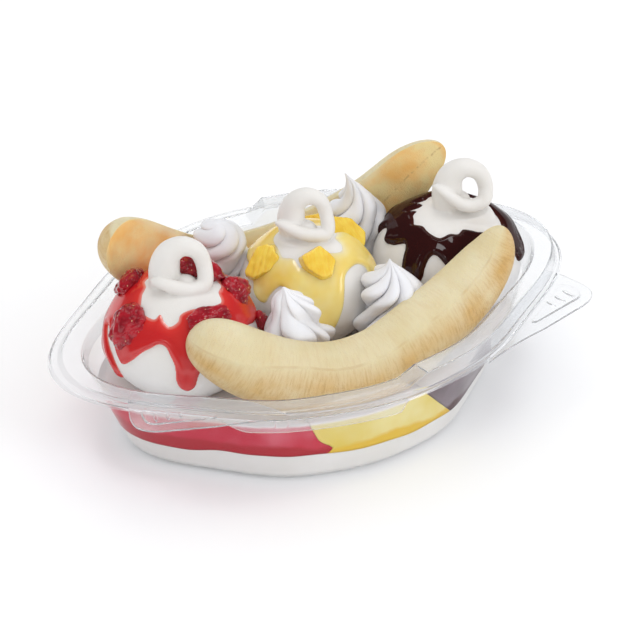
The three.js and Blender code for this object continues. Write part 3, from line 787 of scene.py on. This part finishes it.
# ---- The mounds and their curls ----
# Each mound is soft serve dropped from the machine: a dome that flattens where it stands, drawn up into
# a neck that loops over in a thick ring, whose thinner end is laid across the ring's foot. A fold of it
# narrows the ring's hole from below.
FOOT_TUCK = 0.2  # how much narrower than a ball a dome is where it stands
DOME_WAVES = (0.35, 1.3)  # their height in millimetres, and their length on a ball of radius 1
MOUNDS = {
    "strawberry": {
        "centre": (-57.5, 1, 2), "radius": 32.2, "height": 29.5, "seed": 21,
        "curl": (-0.6, 0.9, 35.7), "curl_size": 1.03, "fold": (2.2, 3.0, -8.4, 5.5),
        "tail": [
            (9.8, 4.5, -5.6, 3.3), (5.2, 7, -6.8, 3.2), (-0.4, 8, -5.4, 3), (-6.9, 7.5, -3.4, 2.8),
            (-11.9, 5, -3.2, 2.3),
        ],
    },
    "pineapple": {
        "centre": (5, 7, 5), "radius": 28.8, "height": 27, "seed": 22,
        "curl": (-1.05, 1.4, 35.7), "curl_size": 0.9, "fold": (0.5, 2.5, -8.2, 5.5),
        "tail": [
            (10.3, 5, -7.2, 3.3), (4.1, 7.2, -7.2, 3.2), (-2, 7.8, -5.5, 3), (-8.7, 6.7, -2.9, 2.7),
            (-13.9, 4.4, -1.6, 2.2),
        ],
    },
    "chocolate": {
        "centre": (67, 0.8, 2), "radius": 31.1, "height": 26.5, "seed": 23,
        "curl": (6.6, -1.3, 35.5), "curl_size": 1, "fold": (-0.6, 1.5, -5.6, 4.0),
        "tail": [
            (8.9, 4, -4, 3.1), (3.8, 6, -5.5, 2.9), (-0.9, 7, -3.7, 2.7), (-5.5, 7, 0.2, 2.5),
            (-9.2, 6, 2.6, 2.3), (-12.3, 4, 3.5, 1.9),
        ],
    },
}
CURL_FACES = np.radians(-118)
CURL_RING = [
    (-3.2, -1, -15.6, 6.6), (-5.9, -0.6, -7.6, 6.6), (-6.1, -0.3, 0.6, 6.2), (-3.9, 0, 6.8, 5.2),
    (1.1, 0, 9.7, 4.2), (6.6, 0, 7.7, 3.6), (9.6, 0.6, 1.4, 3.3),
]
NECK = [(18, -26), (14.6, -16), (12.8, -12), (11, -9.8)]
NECK_FLATNESS = 0.78
NECK_FORWARD = 1.2
STRAND_ROWS, STRAND_AROUND = 130, 32
VOXEL = 0.0005  # half a millimetre, the finest detail that a mound keeps
EASING = 2  # rounds of smoothing once the parts are one skin
DOME_TOP = np.radians(88.5)  # where a dome's last ring lies, close round its top


def foot_elevation(mound):
    """How far below its middle's level, as an angle, the dome stands on the layers."""
    return np.arcsin((LAYER_LEVEL + 0.3 - mound["centre"][2]) / mound["radius"])


def direction(azimuth, elevation):
    """The unit vector towards an azimuth and an elevation."""
    azimuth, elevation = np.broadcast_arrays(azimuth, elevation)
    level = np.cos(elevation)
    return np.stack([level * np.cos(azimuth), level * np.sin(azimuth), np.sin(elevation)], -1)


def dome_at(mound, azimuth, elevation, lift=0.0):
    """A place on the dome, lifted off it: a sphere below its middle that draws in at its foot, a flatter
    one above, and uneven all over by under half a millimetre."""
    azimuth, elevation = np.broadcast_arrays(azimuth, elevation)
    height, length = DOME_WAVES
    waves = height * swells(direction(azimuth, elevation), length, mound["seed"])
    lift = lift + waves * np.cos(elevation)
    radius = mound["radius"] + lift
    tuck = FOOT_TUCK * (np.minimum(0, elevation) / foot_elevation(mound)) ** 2
    across = radius * np.cos(elevation) * (1 - tuck)
    up = np.where(elevation < 0, mound["radius"], mound["height"] + lift) * np.sin(elevation)
    return np.stack([across * np.cos(azimuth), across * np.sin(azimuth), up], -1) + mound["centre"]


def dome(mound):
    """The whole dome as rings from its foot to its top."""
    elevation = np.linspace(foot_elevation(mound), DOME_TOP, 110)[:, None]
    return skin(dome_at(mound, turns(240)[None], elevation))


def strand(places):
    """A round strand through (right, forward, up, radius) places with rounded ends: circles square to
    the curve, whose first axis stays square to the way that the curl faces too."""
    shares = 0.5 - 0.5 * np.cos(np.linspace(0.04, np.pi - 0.04, STRAND_ROWS))
    line, _ = evenly(curve_through(places), shares)
    ahead = unit(np.gradient(line[:, :3], axis=0))
    side = unit(np.cross(ahead, (0, 1, 0.3)))
    other = np.cross(ahead, side)
    turn = turns(STRAND_AROUND)[:, None]
    radius = line[:, 3] * np.sqrt(1 - (2 * shares - 1) ** 12)
    circle = side[:, None] * np.cos(turn) + other[:, None] * np.sin(turn)
    return line[:, None, :3] + circle * radius[:, None, None]


def standing(points, mound):
    """Points given as right, forward and up from over the neck, put in their place on the mound."""
    forward = np.array([np.cos(CURL_FACES), np.sin(CURL_FACES), 0])
    right = np.array([-forward[1], forward[0], 0])
    middle = np.add(mound["centre"], mound["curl"])
    return middle + points[..., :1] * right + points[..., 1:2] * forward + points[..., 2:3] * (0, 0, 1)


def neck():
    """An oval neck, wide where it grows out of the dome: rings of a flattened circle."""
    profile = evenly(curve_through(NECK), np.linspace(0, 1, 24))[0]
    turn = turns(64)
    radius, up = profile[:, :1], profile[:, 1:]
    forward = radius * np.sin(turn) * NECK_FLATNESS + NECK_FORWARD
    return np.stack([radius * np.cos(turn), forward, up + 0 * turn], -1)


def ball(rows, around):
    """Unit directions in rings from the lower pole to the upper one."""
    rise = np.linspace(-np.pi / 2, np.pi / 2, rows + 2)[1:-1, None]
    return direction(turns(around)[None], rise)


def melted(piece):
    """Parts that overlap become one skin, and the creases between them are eased a little."""
    remesh = piece.modifiers.new("one_skin", "REMESH")
    remesh.mode = "VOXEL"
    remesh.voxel_size = VOXEL
    ease = piece.modifiers.new("ease", "SMOOTH")
    ease.factor = 0.5
    ease.iterations = EASING
    apply_modifiers(piece)
    piece.data.shade_smooth()


def gathered(shapes):
    """Several (vertices, faces) as one."""
    points, faces, start = [], [], 0
    for some_points, some_faces in shapes:
        points.append(some_points)
        faces.extend([[corner + start for corner in face] for face in some_faces])
        start += len(some_points)
    return np.vstack(points), faces


for flavour, mound in MOUNDS.items():
    *fold_at, fold_radius = mound["fold"]
    curl = [strand(CURL_RING + mound["tail"]), ball(30, 40) * fold_radius + fold_at]
    rings = [*(part * mound["curl_size"] for part in curl), neck()]
    shape = gathered([dome(mound), *(skin(standing(part, mound)) for part in rings)])
    piece = new_piece(f"{flavour}_soft_serve", shape)
    melted(piece)
    dress(piece, soft_serve)
    finish_piece(piece, "soft_serve", f"{flavour}_mound")


# ---- The sauces ----
# Syrup poured round each curl has run down its dome in tongues and stopped in round beads. Each sauce is
# a sheet that lies on the dome between its upper edge, round the neck, and its hem. Both edges are drawn
# as loops of (azimuth, elevation) on the dome, in degrees.
SAUCES = {
    "strawberry": {
        "depth": 1.25, "upper_ease": 6.0, "hem_ease": 1.7,
        "upper": [
            (-178, 52), (-164, 48), (-150, 48), (-146, 53), (-138, 48), (-131, 45), (-123, 49), (-120, 55),
            (-103, 59), (-87, 58), (-69, 56), (-57, 55), (-44, 61), (-24, 60), (-8, 65), (20, 72), (45, 77),
            (80, 76), (105, 68), (135, 60), (155, 62), (169, 57),
        ],
        "hem": [
            (-175, -16), (-172, -13), (-173, -7), (-179, 1), (172, 7), (163, 12), (157, 17), (163, 20),
            (172, 17), (180, 13), (-173, 7), (-167, 3), (-159, 10), (-151, 20), (-144, 26), (-138, 30),
            (-132, 29), (-127, 22), (-123, 13), (-122, 1), (-119, -6), (-114, -9), (-109, -6), (-106, 4),
            (-101, 14), (-92, 19), (-82, 14), (-70, 12), (-60, 20), (-51, 27), (-38, 23), (-25, 21),
            (-12, 25), (0, 32), (14, 36), (30, 26), (45, 8), (58, -1), (70, 8), (84, 22), (98, 22),
            (110, 10), (120, 5), (130, 8), (140, 2), (150, -5), (160, -13), (170, -19), (178, -20),
        ],
    },
    "pineapple": {
        "depth": 0.8, "upper_ease": 5.0, "hem_ease": 1.5,
        "upper": [
            (-161, 56), (-143, 58), (-134, 54), (-129, 51), (-124, 55), (-119, 63), (-100, 65), (-86, 63),
            (-70, 59), (-58, 57), (-47, 60), (-38, 67), (-15, 66), (15, 70), (45, 79), (70, 77), (100, 68),
            (143, 62), (175, 60),
        ],
        "hem": [
            (-178, 24), (-173, 17), (-164, 12), (-158, 13), (-155, 21), (-151, 28), (-146, 32), (-138, 29),
            (-128, 18), (-118, 2), (-108, -12), (-100, -17), (-95, -6), (-91, 3), (-87, 13), (-83, 26),
            (-77, 37), (-66, 41), (-52, 39), (-46, 31), (-47, 23), (-40, 18), (-31, 15), (-22, 11),
            (-17, 15), (-15, 24), (-16, 33), (-9, 41), (6, 40), (20, 30), (32, 14), (44, 3), (57, 10),
            (70, 22), (84, 24), (97, 13), (110, 7), (122, 13), (135, 24), (150, 28), (168, 30),
        ],
    },
    "chocolate": {
        "depth": 1.5, "upper_ease": 2.0, "hem_ease": 2.3,
        "upper": [
            (-180, 60), (-164, 63), (-152, 61), (-142, 59), (-128, 57), (-113, 61), (-101, 60), (-90, 63),
            (-78, 60), (-70, 56), (-55, 50), (-42, 45), (-30, 43), (-17, 47), (-5, 57), (15, 61), (40, 58),
            (65, 63), (90, 62), (108, 66), (121, 60), (128, 69), (138, 68), (143, 57), (150, 66), (159, 63),
            (172, 62),
        ],
        "hem": [
            (-180, 36), (-174, 40), (-168, 43), (-164, 40), (-162, 34), (-160, 27), (-157, 18), (-150, 11),
            (-143, 12), (-139, 20), (-138, 30), (-136, 38), (-132, 42), (-127, 41), (-120, 35), (-112, 26),
            (-103, 20), (-92, 26), (-80, 31), (-66, 26), (-54, 24), (-44, 20), (-42, 11), (-34, 5),
            (-24, 3), (-16, 9), (-8, 17), (2, 24), (14, 26), (27, 20), (40, 8), (52, 14), (65, 27),
            (78, 22), (90, 15), (102, 22), (115, 27), (126, 20), (134, 15), (140, 20), (148, 35), (159, 37),
            (166, 32), (173, 33),
        ],
    },
}
SUNK = 0.7  # how far a sauce's sheet lies below the dome where there is no sauce
SAUCE_AROUND, SAUCE_ROWS = 420, 170
SAUCE_TOP = np.radians(82)  # where the sheet's last ring lies, inside the neck
SAUCE_WAVES = (0.22, 0.5)  # their height over the depth, and their length on a ball of radius 1
HEM_BULGE = (0.3, 2.4, 1.6)  # its height over the depth, how far it lies from the hem, and its width


def unrolled(azimuth, elevation):
    """The dome seen from its top, flat: the tangent of half the angle from the top, times 2, which keeps
    small shapes true everywhere. Also how many millimetres of dome one unit stands for, over radius."""
    half = (np.pi / 2 - elevation) / 2
    reach = 2 * np.tan(half)
    flat = np.stack([reach * np.cos(azimuth), reach * np.sin(azimuth)], -1)
    return flat, np.cos(half) ** 2 + 0 * azimuth


def loop_on_dome(places, steps=6):
    """A smooth closed loop through (azimuth, elevation) places, unrolled."""
    flat, _ = unrolled(*np.radians(np.array(places, float)).T)
    return curve_through(np.vstack([flat[-2:], flat, flat[:2]]), steps)[2 * steps:-2 * steps - 1]


def depth_inside(flat, loop):
    """Distance of flat points from a closed loop, positive inside it: the nearest of its sides, with a
    sign that flips at every side crossed on the way out."""
    nearest = np.full(flat.shape[:-1], np.inf)
    inside = np.zeros(flat.shape[:-1], bool)
    x, y = flat[..., 0], flat[..., 1]
    for (ax, ay), (bx, by) in zip(loop, np.roll(loop, -1, 0)):
        length = (bx - ax) ** 2 + (by - ay) ** 2 + 1e-12
        share = np.clip(((x - ax) * (bx - ax) + (y - ay) * (by - ay)) / length, 0, 1)
        nearest = np.minimum(nearest, np.hypot(x - ax - share * (bx - ax), y - ay - share * (by - ay)))
        inside ^= ((ay > y) != (by > y)) & (x < (bx - ax) * (y - ay) / (by - ay + 1e-12) + ax)
    return np.where(inside, nearest, -nearest)


def bead(distance, width):
    """The round edge of a drop: a quarter circle that reaches full depth at a width from the edge."""
    return np.sqrt(1 - (1 - np.clip(distance / width, 0, 1)) ** 2)


def sauce_sheet(mound, sauce):
    """An outer skin that stands off the dome by the sauce's depth, and an inner one under the dome's
    surface. The depth is the product of the two edges' beads, and varies softly. Also that depth, as a
    share of the whole, for every point."""
    lowest = np.radians(min(elevation for _, elevation in sauce["hem"]) - 4)
    elevation = np.linspace(lowest, SAUCE_TOP, SAUCE_ROWS)[:, None]
    azimuth = turns(SAUCE_AROUND)[None]
    flat, true_size = unrolled(azimuth, elevation)
    true_size = true_size * mound["radius"]
    above_hem = depth_inside(flat, loop_on_dome(sauce["hem"])) * true_size
    below_upper = -depth_inside(flat, loop_on_dome(sauce["upper"])) * true_size
    body = bead(above_hem, sauce["hem_ease"]) * smooth(below_upper, 0, sauce["upper_ease"]) ** 0.5
    bulge, inwards, width = HEM_BULGE
    rim = bulge * np.exp(-(((above_hem - inwards) / width) ** 2)) * (below_upper > 0)
    height, length = SAUCE_WAVES
    uneven = 1 + height * swells(direction(azimuth, elevation), length, mound["seed"] + 30)
    edge = np.minimum(above_hem, below_upper)
    depth = sauce["depth"] * body * (uneven + rim)
    lift = np.where(edge > 0, depth, np.maximum(-SUNK, edge * 0.6))
    outer = dome_at(mound, azimuth, elevation, lift)
    inner = dome_at(mound, azimuth, elevation[::-10], -SUNK - 0.6)
    share = np.concatenate([np.clip(lift / sauce["depth"], 0, 1), np.zeros(inner.shape[:2])])
    return skin(np.concatenate([outer, inner]), closed=True), share


def syrup_material(name, thin, middle, thick, clouded, cloudiness, cloud_scale, inputs):
    """Glossy syrup over white: pale where it is thin and deep where it is thick, by its depth, with a
    coat that fades where it is seen along its surface."""
    made, tree = new_material(name)
    depth = node(tree, "Attribute", attribute_name="depth").outputs["Fac"]
    ramp = node(tree, "ValToRGB", {"Fac": depth})
    stops = ramp.color_ramp.elements
    stops[0].position, stops[0].color = 0.06, tint(thin)
    stops[1].position, stops[1].color = 1.0, tint(thick)
    stops.new(0.4).color = tint(middle)
    clouds = mottled(tree, place_in(tree), clouded, thick, cloud_scale, 700.0)["Cloud"]
    cloud_share = maths(tree, "MULTIPLY", clouds, cloudiness)
    slant = node(tree, "LayerWeight", {"Blend": 0.5}).outputs["Facing"]
    surface(tree, {
        "Base Color": blended(tree, cloud_share, ramp.outputs["Color"], clouded),
        "Normal": relief(tree, clouds, 0.2, 0.0004), "Coat Roughness": 0.04, **inputs,
        "Coat Weight": ranged(tree, slant, 0.7, 0.3, 0.0, inputs["Coat Weight"]),
    })
    return made


SYRUPS = {
    "strawberry": syrup_material("strawberry_sauce", "E9978A", "D8302A", "C4191E", "D0342A", 0.35, 90.0, {
        "Roughness": 0.2, "Coat Weight": 0.6,
        "Subsurface Weight": 0.2, "Subsurface Radius": (1.0, 0.2, 0.15), "Subsurface Scale": 0.0012,
    }),
    "pineapple": syrup_material("pineapple_sauce", "F6F1DF", "F4EABC", "F3E092", "EAC03C", 0.75, 46.0, {
        "Roughness": 0.2, "Coat Weight": 0.7,
        "Subsurface Weight": 0.5, "Subsurface Radius": (1.0, 0.8, 0.35), "Subsurface Scale": 0.0025,
    }),
    "chocolate": syrup_material("chocolate_sauce", "46201A", "35120F", "2A0B0A", "3A1410", 0.35, 70.0, {
        "Roughness": 0.12, "Coat Weight": 0.7, "IOR": 1.08,
    }),
}

for flavour, sauce in SAUCES.items():
    shape, share = sauce_sheet(MOUNDS[flavour], sauce)
    piece = new_piece(f"{flavour}_sauce", shape, SYRUPS[flavour])
    keep_share(piece, "depth", share)
    finish_piece(piece, flavour)


# ---- The strawberries ----
# Chopped strawberries, wet with syrup: lumpy pieces pressed a little into the dome, dark red, pitted
# with seeds. A piece is placed by where it lies on the dome, in degrees, and by its half sizes along the
# dome, up it and out of it, in millimetres.
BERRIES = {
    "berry_back_left": {"azimuth": 128, "elevation": 42, "half": (8, 6, 5), "lumps": 0.16},
    "berry_front_left": {"azimuth": -174, "elevation": 31, "half": (8, 8.6, 5.5), "lumps": 0.18},
    "berry_front": {"azimuth": -88, "elevation": 46, "half": (9.5, 4.6, 4.5), "lumps": 0.16},
    "berry_right": {"azimuth": -20, "elevation": 44, "half": (7, 6.5, 5), "lumps": 0.18},
    "berry_low_right": {"azimuth": -27, "elevation": 14, "half": (4.6, 5, 4), "lumps": 0.15},
    "berry_behind_curl": {"azimuth": 32, "elevation": 67.5, "half": (10.5, 8.5, 5), "lumps": 0.15},
}
SEEDS_PER_BERRY = 9
SEED_HALF = np.array([0.26, 0.42, 0.18])
FRUIT_RISE = 1.2  # how far above the dome a piece of fruit has its middle


def axes_on_dome(azimuth, elevation):
    """The directions along the dome, up it and out of it at a place given in degrees."""
    azimuth, elevation = np.radians([azimuth, elevation])
    out = direction(azimuth, elevation)
    along = np.array([-np.sin(azimuth), np.cos(azimuth), 0])
    return np.array([along, np.cross(out, along), out])


def middle_on_dome(mound, elevation, out):
    """Where a piece of fruit has its middle: a little above the dome's surface."""
    reach = mix(mound["radius"], mound["height"], np.sin(np.radians(elevation))) + FRUIT_RISE
    return np.add(mound["centre"], out * reach)


def berry_size(way, berry, seed):
    """How far a berry's surface reaches in each direction, over its half size: three slow waves for its
    chopped form, then lumps and fine pimples."""
    x, y, z = np.moveaxis(way, -1, 0)
    slow = np.sin(3.1 * x + 2 * seed) + np.sin(3.7 * y - seed) + np.sin(4.3 * z + 3 * seed)
    lumps = 0.1 * np.abs(swells(way, 0.8, seed + 40)) + 0.05 * np.abs(swells(way, 0.4, seed + 50))
    return 0.96 + berry["lumps"] * slow / 2 + lumps


berry_flesh, tree = new_material("strawberry_flesh")
place = place_in(tree)
pits = node(tree, "TexVoronoi", {"Vector": place, "Scale": 420.0}).outputs["Distance"]
pitted = maths(tree, "MULTIPLY_ADD", pits, 0.35, noise(tree, place, 420.0))
surface(tree, {
    "Base Color": mottled(tree, place, "80091A", "B41627", 170.0, 1100.0)["Color"], "Roughness": 0.25,
    "Normal": relief(tree, pitted, 0.9, 0.0008), "Coat Weight": 0.9, "Coat Roughness": 0.03, "IOR": 1.25,
    "Subsurface Weight": 0.15, "Subsurface Radius": (1.0, 0.15, 0.15), "Subsurface Scale": 0.0015,
})

seed_skin, tree = new_material("strawberry_seed")
body = mottled(tree, place_in(tree), "E0B48C", "C98A68", 900.0, 3000.0)
surface(tree, {"Base Color": body["Color"], "Roughness": 0.25, "Coat Weight": 0.5})

seed_shapes = []
for seed, (name, berry) in enumerate(BERRIES.items()):
    axes = axes_on_dome(berry["azimuth"], berry["elevation"])
    middle = middle_on_dome(MOUNDS["strawberry"], berry["elevation"], axes[2])
    half = np.array(berry["half"])
    way = ball(90, 140)
    points = middle + (way * half * berry_size(way, berry, seed)[..., None]) @ axes
    finish_piece(new_piece(f"{name}_piece", skin(points), berry_flesh), "berry", name)
    step = np.arange(SEEDS_PER_BERRY) + 0.5
    rise = np.arcsin(1 - 1.3 * step / SEEDS_PER_BERRY)
    spots = direction(step * np.pi * (3 - np.sqrt(5)) + seed, rise)
    for spot, reach in zip(spots, berry_size(spots, berry, seed)):
        out = unit(spot / half) @ axes
        side = unit(np.cross(out, (0.2, 0.1, 1.0)))
        seed_axes = np.array([side, np.cross(out, side), out])
        seed_at = middle + (spot * half * reach) @ axes
        seed_shapes.append(skin(seed_at + (ball(6, 8) * SEED_HALF) @ seed_axes))
finish_piece(new_piece("berry_seeds", gathered(seed_shapes), seed_skin), "berry")


# ---- The pineapple pieces ----
# Tidbits cut from rings of pineapple: flat-sided wedges with rounded corners and fibres that run one
# way. A piece is a polygon of (right, up) corners on a plane that faces a direction, and its thickness.
TIDBITS = {
    "pineapple_left": {
        "azimuth": 178, "elevation": 42, "faces": (-140, 42), "thick": (3.4, 6), "fibres": 0.9, "seed": 61,
        "corners": [
            (-5.7, -7.8), (-5.1, -2.4), (-3.3, 4.9), (2.3, 7.4), (7.8, 2.1), (6.1, -3.5), (-0.8, -9.3),
        ],
    },
    "pineapple_front": {
        "azimuth": -94, "elevation": 50, "faces": (-105, 45), "thick": (3.4, 5), "fibres": 0.3, "seed": 62,
        "corners": [(-1.5, 8.5), (4.2, 1.3), (1.3, -5.6), (-3.1, -6.7), (-9.8, -0.7), (-10.7, 4.6)],
    },
    "pineapple_right": {
        "azimuth": 0, "elevation": 44, "faces": (-75, 42), "thick": (3.4, 7), "fibres": 0.4, "seed": 63,
        "corners": [(-6.2, 10.3), (1.5, 6.1), (4.8, -2.3), (0.2, -7.9), (-9.0, -1.6), (-13.7, 4.6)],
    },
    "pineapple_back": {
        "azimuth": 62, "elevation": 50, "faces": (75, 50), "thick": (1.4, 5), "fibres": 0.5, "seed": 64,
        "corners": [(-6, -6), (-7, -2), (-3, -0.5), (1, -1.5), (3, -4.5), (-1, -7)],
    },
}
TIDBIT_SHARPNESS = 14
TIDBIT_TAPER = 0.12  # how much the sides lean in towards the front
FIBRE_STRETCH = (2.2, 0.35, 1.6)  # how often fibres repeat across, along and into the block
FIBRE_HEIGHT = 0.28  # in millimetres


def tidbit(piece):
    """A block with rounded edges: in each direction it reaches as far as a high power mean of its flat
    sides lets it, so the nearest side counts most. Also each point's place in the block's own axes."""
    corners = np.array(piece["corners"], float)
    corners = corners[np.argsort(np.arctan2(*(corners - corners.mean(0)).T[::-1]))]
    middle = corners.mean(0)
    sides = np.roll(corners, -1, 0) - corners
    normals = unit(np.column_stack([sides[:, 1], -sides[:, 0]]))
    reaches = ((corners - middle) * normals).sum(1)
    front, back = piece["thick"]
    flats = np.vstack([
        np.column_stack([normals * np.sqrt(1 - TIDBIT_TAPER**2), np.full(len(normals), TIDBIT_TAPER)]),
        unit(np.array([0.06, 0.1, 1.0])), (0, 0, -1),
    ])
    reaches = np.r_[reaches, front, back]
    way = ball(110, 150)
    over = np.maximum(way @ flats.T, 0) / reaches
    size = 1 / (over**TIDBIT_SHARPNESS).sum(-1) ** (1 / TIDBIT_SHARPNESS)
    local = way * size[..., None]
    fibre = swells(local * FIBRE_STRETCH, 5, piece["seed"]) * FIBRE_HEIGHT * piece["fibres"]
    uneven = (fibre + 0.12 * swells(local, 4.5, piece["seed"] + 9)) / np.maximum(size, 3)
    local = local * (1 + uneven[..., None])
    axes = axes_on_dome(*piece["faces"])
    out = axes_on_dome(piece["azimuth"], piece["elevation"])[2]
    centre = middle_on_dome(MOUNDS["pineapple"], piece["elevation"], out)
    return skin(centre + (local + (*middle, 0)) @ axes), local


tidbit_flesh, tree = new_material("pineapple_flesh")
place = node(tree, "Attribute", attribute_name="in_block").outputs["Vector"]
body = mottled(tree, place, "ECC23E", "F3D456", 0.16, 1.2)
squeeze = node(tree, "Mapping", {"Vector": place, "Scale": (1.5, 0.22, 1.5)}).outputs["Vector"]
fibre = noise(tree, squeeze, 1.0, 4.0)
surface(tree, {
    "Base Color": blended(tree, ranged(tree, fibre, 0.45, 0.7, 0.0, 0.5), body["Color"], "ECB534"),
    "Roughness": 0.24, "Normal": relief(tree, fibre, 0.6, 0.0005), "Coat Weight": 0.4, "Coat Roughness": 0.08,
    "Subsurface Weight": 0.3, "Subsurface Radius": (1.0, 0.7, 0.15), "Subsurface Scale": 0.002,
})

for name, piece in TIDBITS.items():
    shape, local = tidbit(piece)
    block = new_piece(f"{name}_tidbit", shape, tidbit_flesh)
    keep_places(block, "in_block", local)
    finish_piece(block, "pineapple_fruit", name)


# ---- The whipped cream ----
# Rosettes piped through a star nozzle: the cream is laid in about two narrowing turns and drawn off in
# a leaning point. The nozzle's ridges run up it as folds that sweep round, each with a soft back and a
# sharp groove.
ROSETTES = {
    "back_left": {
        "at": (-22, 33), "radius": 10.4, "foot": 0, "tip": 30.5, "lean": (-2, 0), "turn": 200, "folds": 4,
        "fold_depth": 0.38, "ruffle": 0.2, "sweep": -0.9, "form": "rolled", "seed": 71,
    },
    "back_centre": {
        "at": (42, 31), "radius": 10.8, "foot": 0, "tip": 38, "lean": (-7, 0), "turn": 60, "folds": 6,
        "fold_depth": 0.45, "ruffle": 0.25, "sweep": -0.45, "form": "slender", "seed": 72,
    },
    "front_left": {
        "at": (-18, -27), "radius": 14, "foot": -13.7, "tip": 31.5, "lean": (-5, 3), "turn": 330, "folds": 8,
        "fold_depth": 0.4, "ruffle": 0.55, "sweep": 0.35, "form": "sloping", "seed": 73,
    },
    "front_right": {
        "at": (27.5, -26), "radius": 13, "foot": -13.7, "tip": 31.5, "lean": (-2, 0), "turn": 120, "folds": 7,
        "fold_depth": 0.55, "ruffle": 0.35, "sweep": -0.5, "form": "stout", "seed": 74,
    },
}
CREAM_FORMS = {  # (share of the height, share of the widest radius)
    "rolled": [
        (0, 0.86), (0.1, 1), (0.5, 1.02), (0.65, 0.98), (0.78, 0.9), (0.88, 0.72), (0.95, 0.45), (1, 0.1),
    ],
    "slender": [
        (0, 0.86), (0.08, 0.98), (0.3, 1.02), (0.45, 0.97), (0.55, 0.83), (0.65, 0.62), (0.75, 0.4),
        (0.84, 0.22), (0.92, 0.1), (1, 0.02),
    ],
    "sloping": [
        (0, 0.86), (0.08, 0.98), (0.3, 1), (0.42, 0.95), (0.52, 0.85), (0.62, 0.78), (0.72, 0.7), (0.8, 0.58),
        (0.88, 0.38), (0.94, 0.18), (1, 0.03),
    ],
    "stout": [
        (0, 0.86), (0.08, 0.98), (0.3, 1.02), (0.5, 1), (0.62, 0.93), (0.74, 0.78), (0.83, 0.5), (0.9, 0.24),
        (0.95, 0.1), (1, 0.02),
    ],
}
CREAM_ROWS, CREAM_AROUND = 200, 240
CREAM_GIRTH = 1.1  # how far the folds' backs reach, over the rosette's radius
FOLD_LEAN = 0.75  # below 1, the highest part of a fold lies nearer to one of its two grooves
RUFFLES = 2.2  # how many times a fold swells between the foot and the tip


def rosette(cream):
    """A drop whose radius is cut in by folds: round lobes with sharp grooves between them, which turn
    with the height and waver. Each lobe swells and thins up its own height by a seeded sine, and the
    middle line leans over towards the tip."""
    share = np.linspace(0, 1, CREAM_ROWS)
    form = curve_through(CREAM_FORMS[cream["form"]])
    girth = np.interp(share, form[:, 0], form[:, 1])[:, None]
    share = share[:, None]
    angle = turns(CREAM_AROUND)[None]
    around = np.stack(np.broadcast_arrays(np.cos(angle), np.sin(angle), 2.5 * share), -1)
    waver = swells(around, 2.2, cream["seed"])
    turned = angle / (2 * np.pi) + cream["sweep"] * share**1.2 + cream["turn"] / 360 + 0.05 * waver
    turned = turned * cream["folds"]
    lobe = (turned % 1) ** FOLD_LEAN
    fold = np.sqrt(1 - (2 * lobe - 1) ** 2 * 0.98)
    draw = np.random.default_rng(cream["seed"]).uniform(size=(2, cream["folds"]))
    phase, own = draw[:, np.floor(turned).astype(int) % cream["folds"]]
    swell = 1 + cream["ruffle"] * (np.sin(2 * np.pi * (RUFFLES * share + phase)) + 1.2 * (own - 0.5))
    depth = cream["fold_depth"] * smooth(share, 0, 0.06) * (1 - 0.3 * share)
    uneven = 0.07 * waver + 0.25 * cream["ruffle"] * swells(around, 0.8, cream["seed"] + 5) * (1 - share)
    radius = cream["radius"] * CREAM_GIRTH * girth * (1 - depth + depth * fold * swell) * (1 + uneven)
    lean = share**3
    x, y = (at + far * lean for at, far in zip(cream["at"], cream["lean"]))
    height = mix(cream["foot"], cream["tip"], share) + 1.2 * waver * (1 - share) * smooth(share, 0, 0.2)
    return skin(np.stack([x + radius * np.cos(angle), y + radius * np.sin(angle), height + 0 * angle], -1))


whipped = soft_material("whipped_cream", "ECEBED", "E6E6E9", 1500.0, 0.0002, 0.5, 0.25)
for name, cream in ROSETTES.items():
    piece = new_piece(f"{name}_rosette", rosette(cream), whipped)
    finish_piece(piece, "whipped_cream", f"cream_{name}")
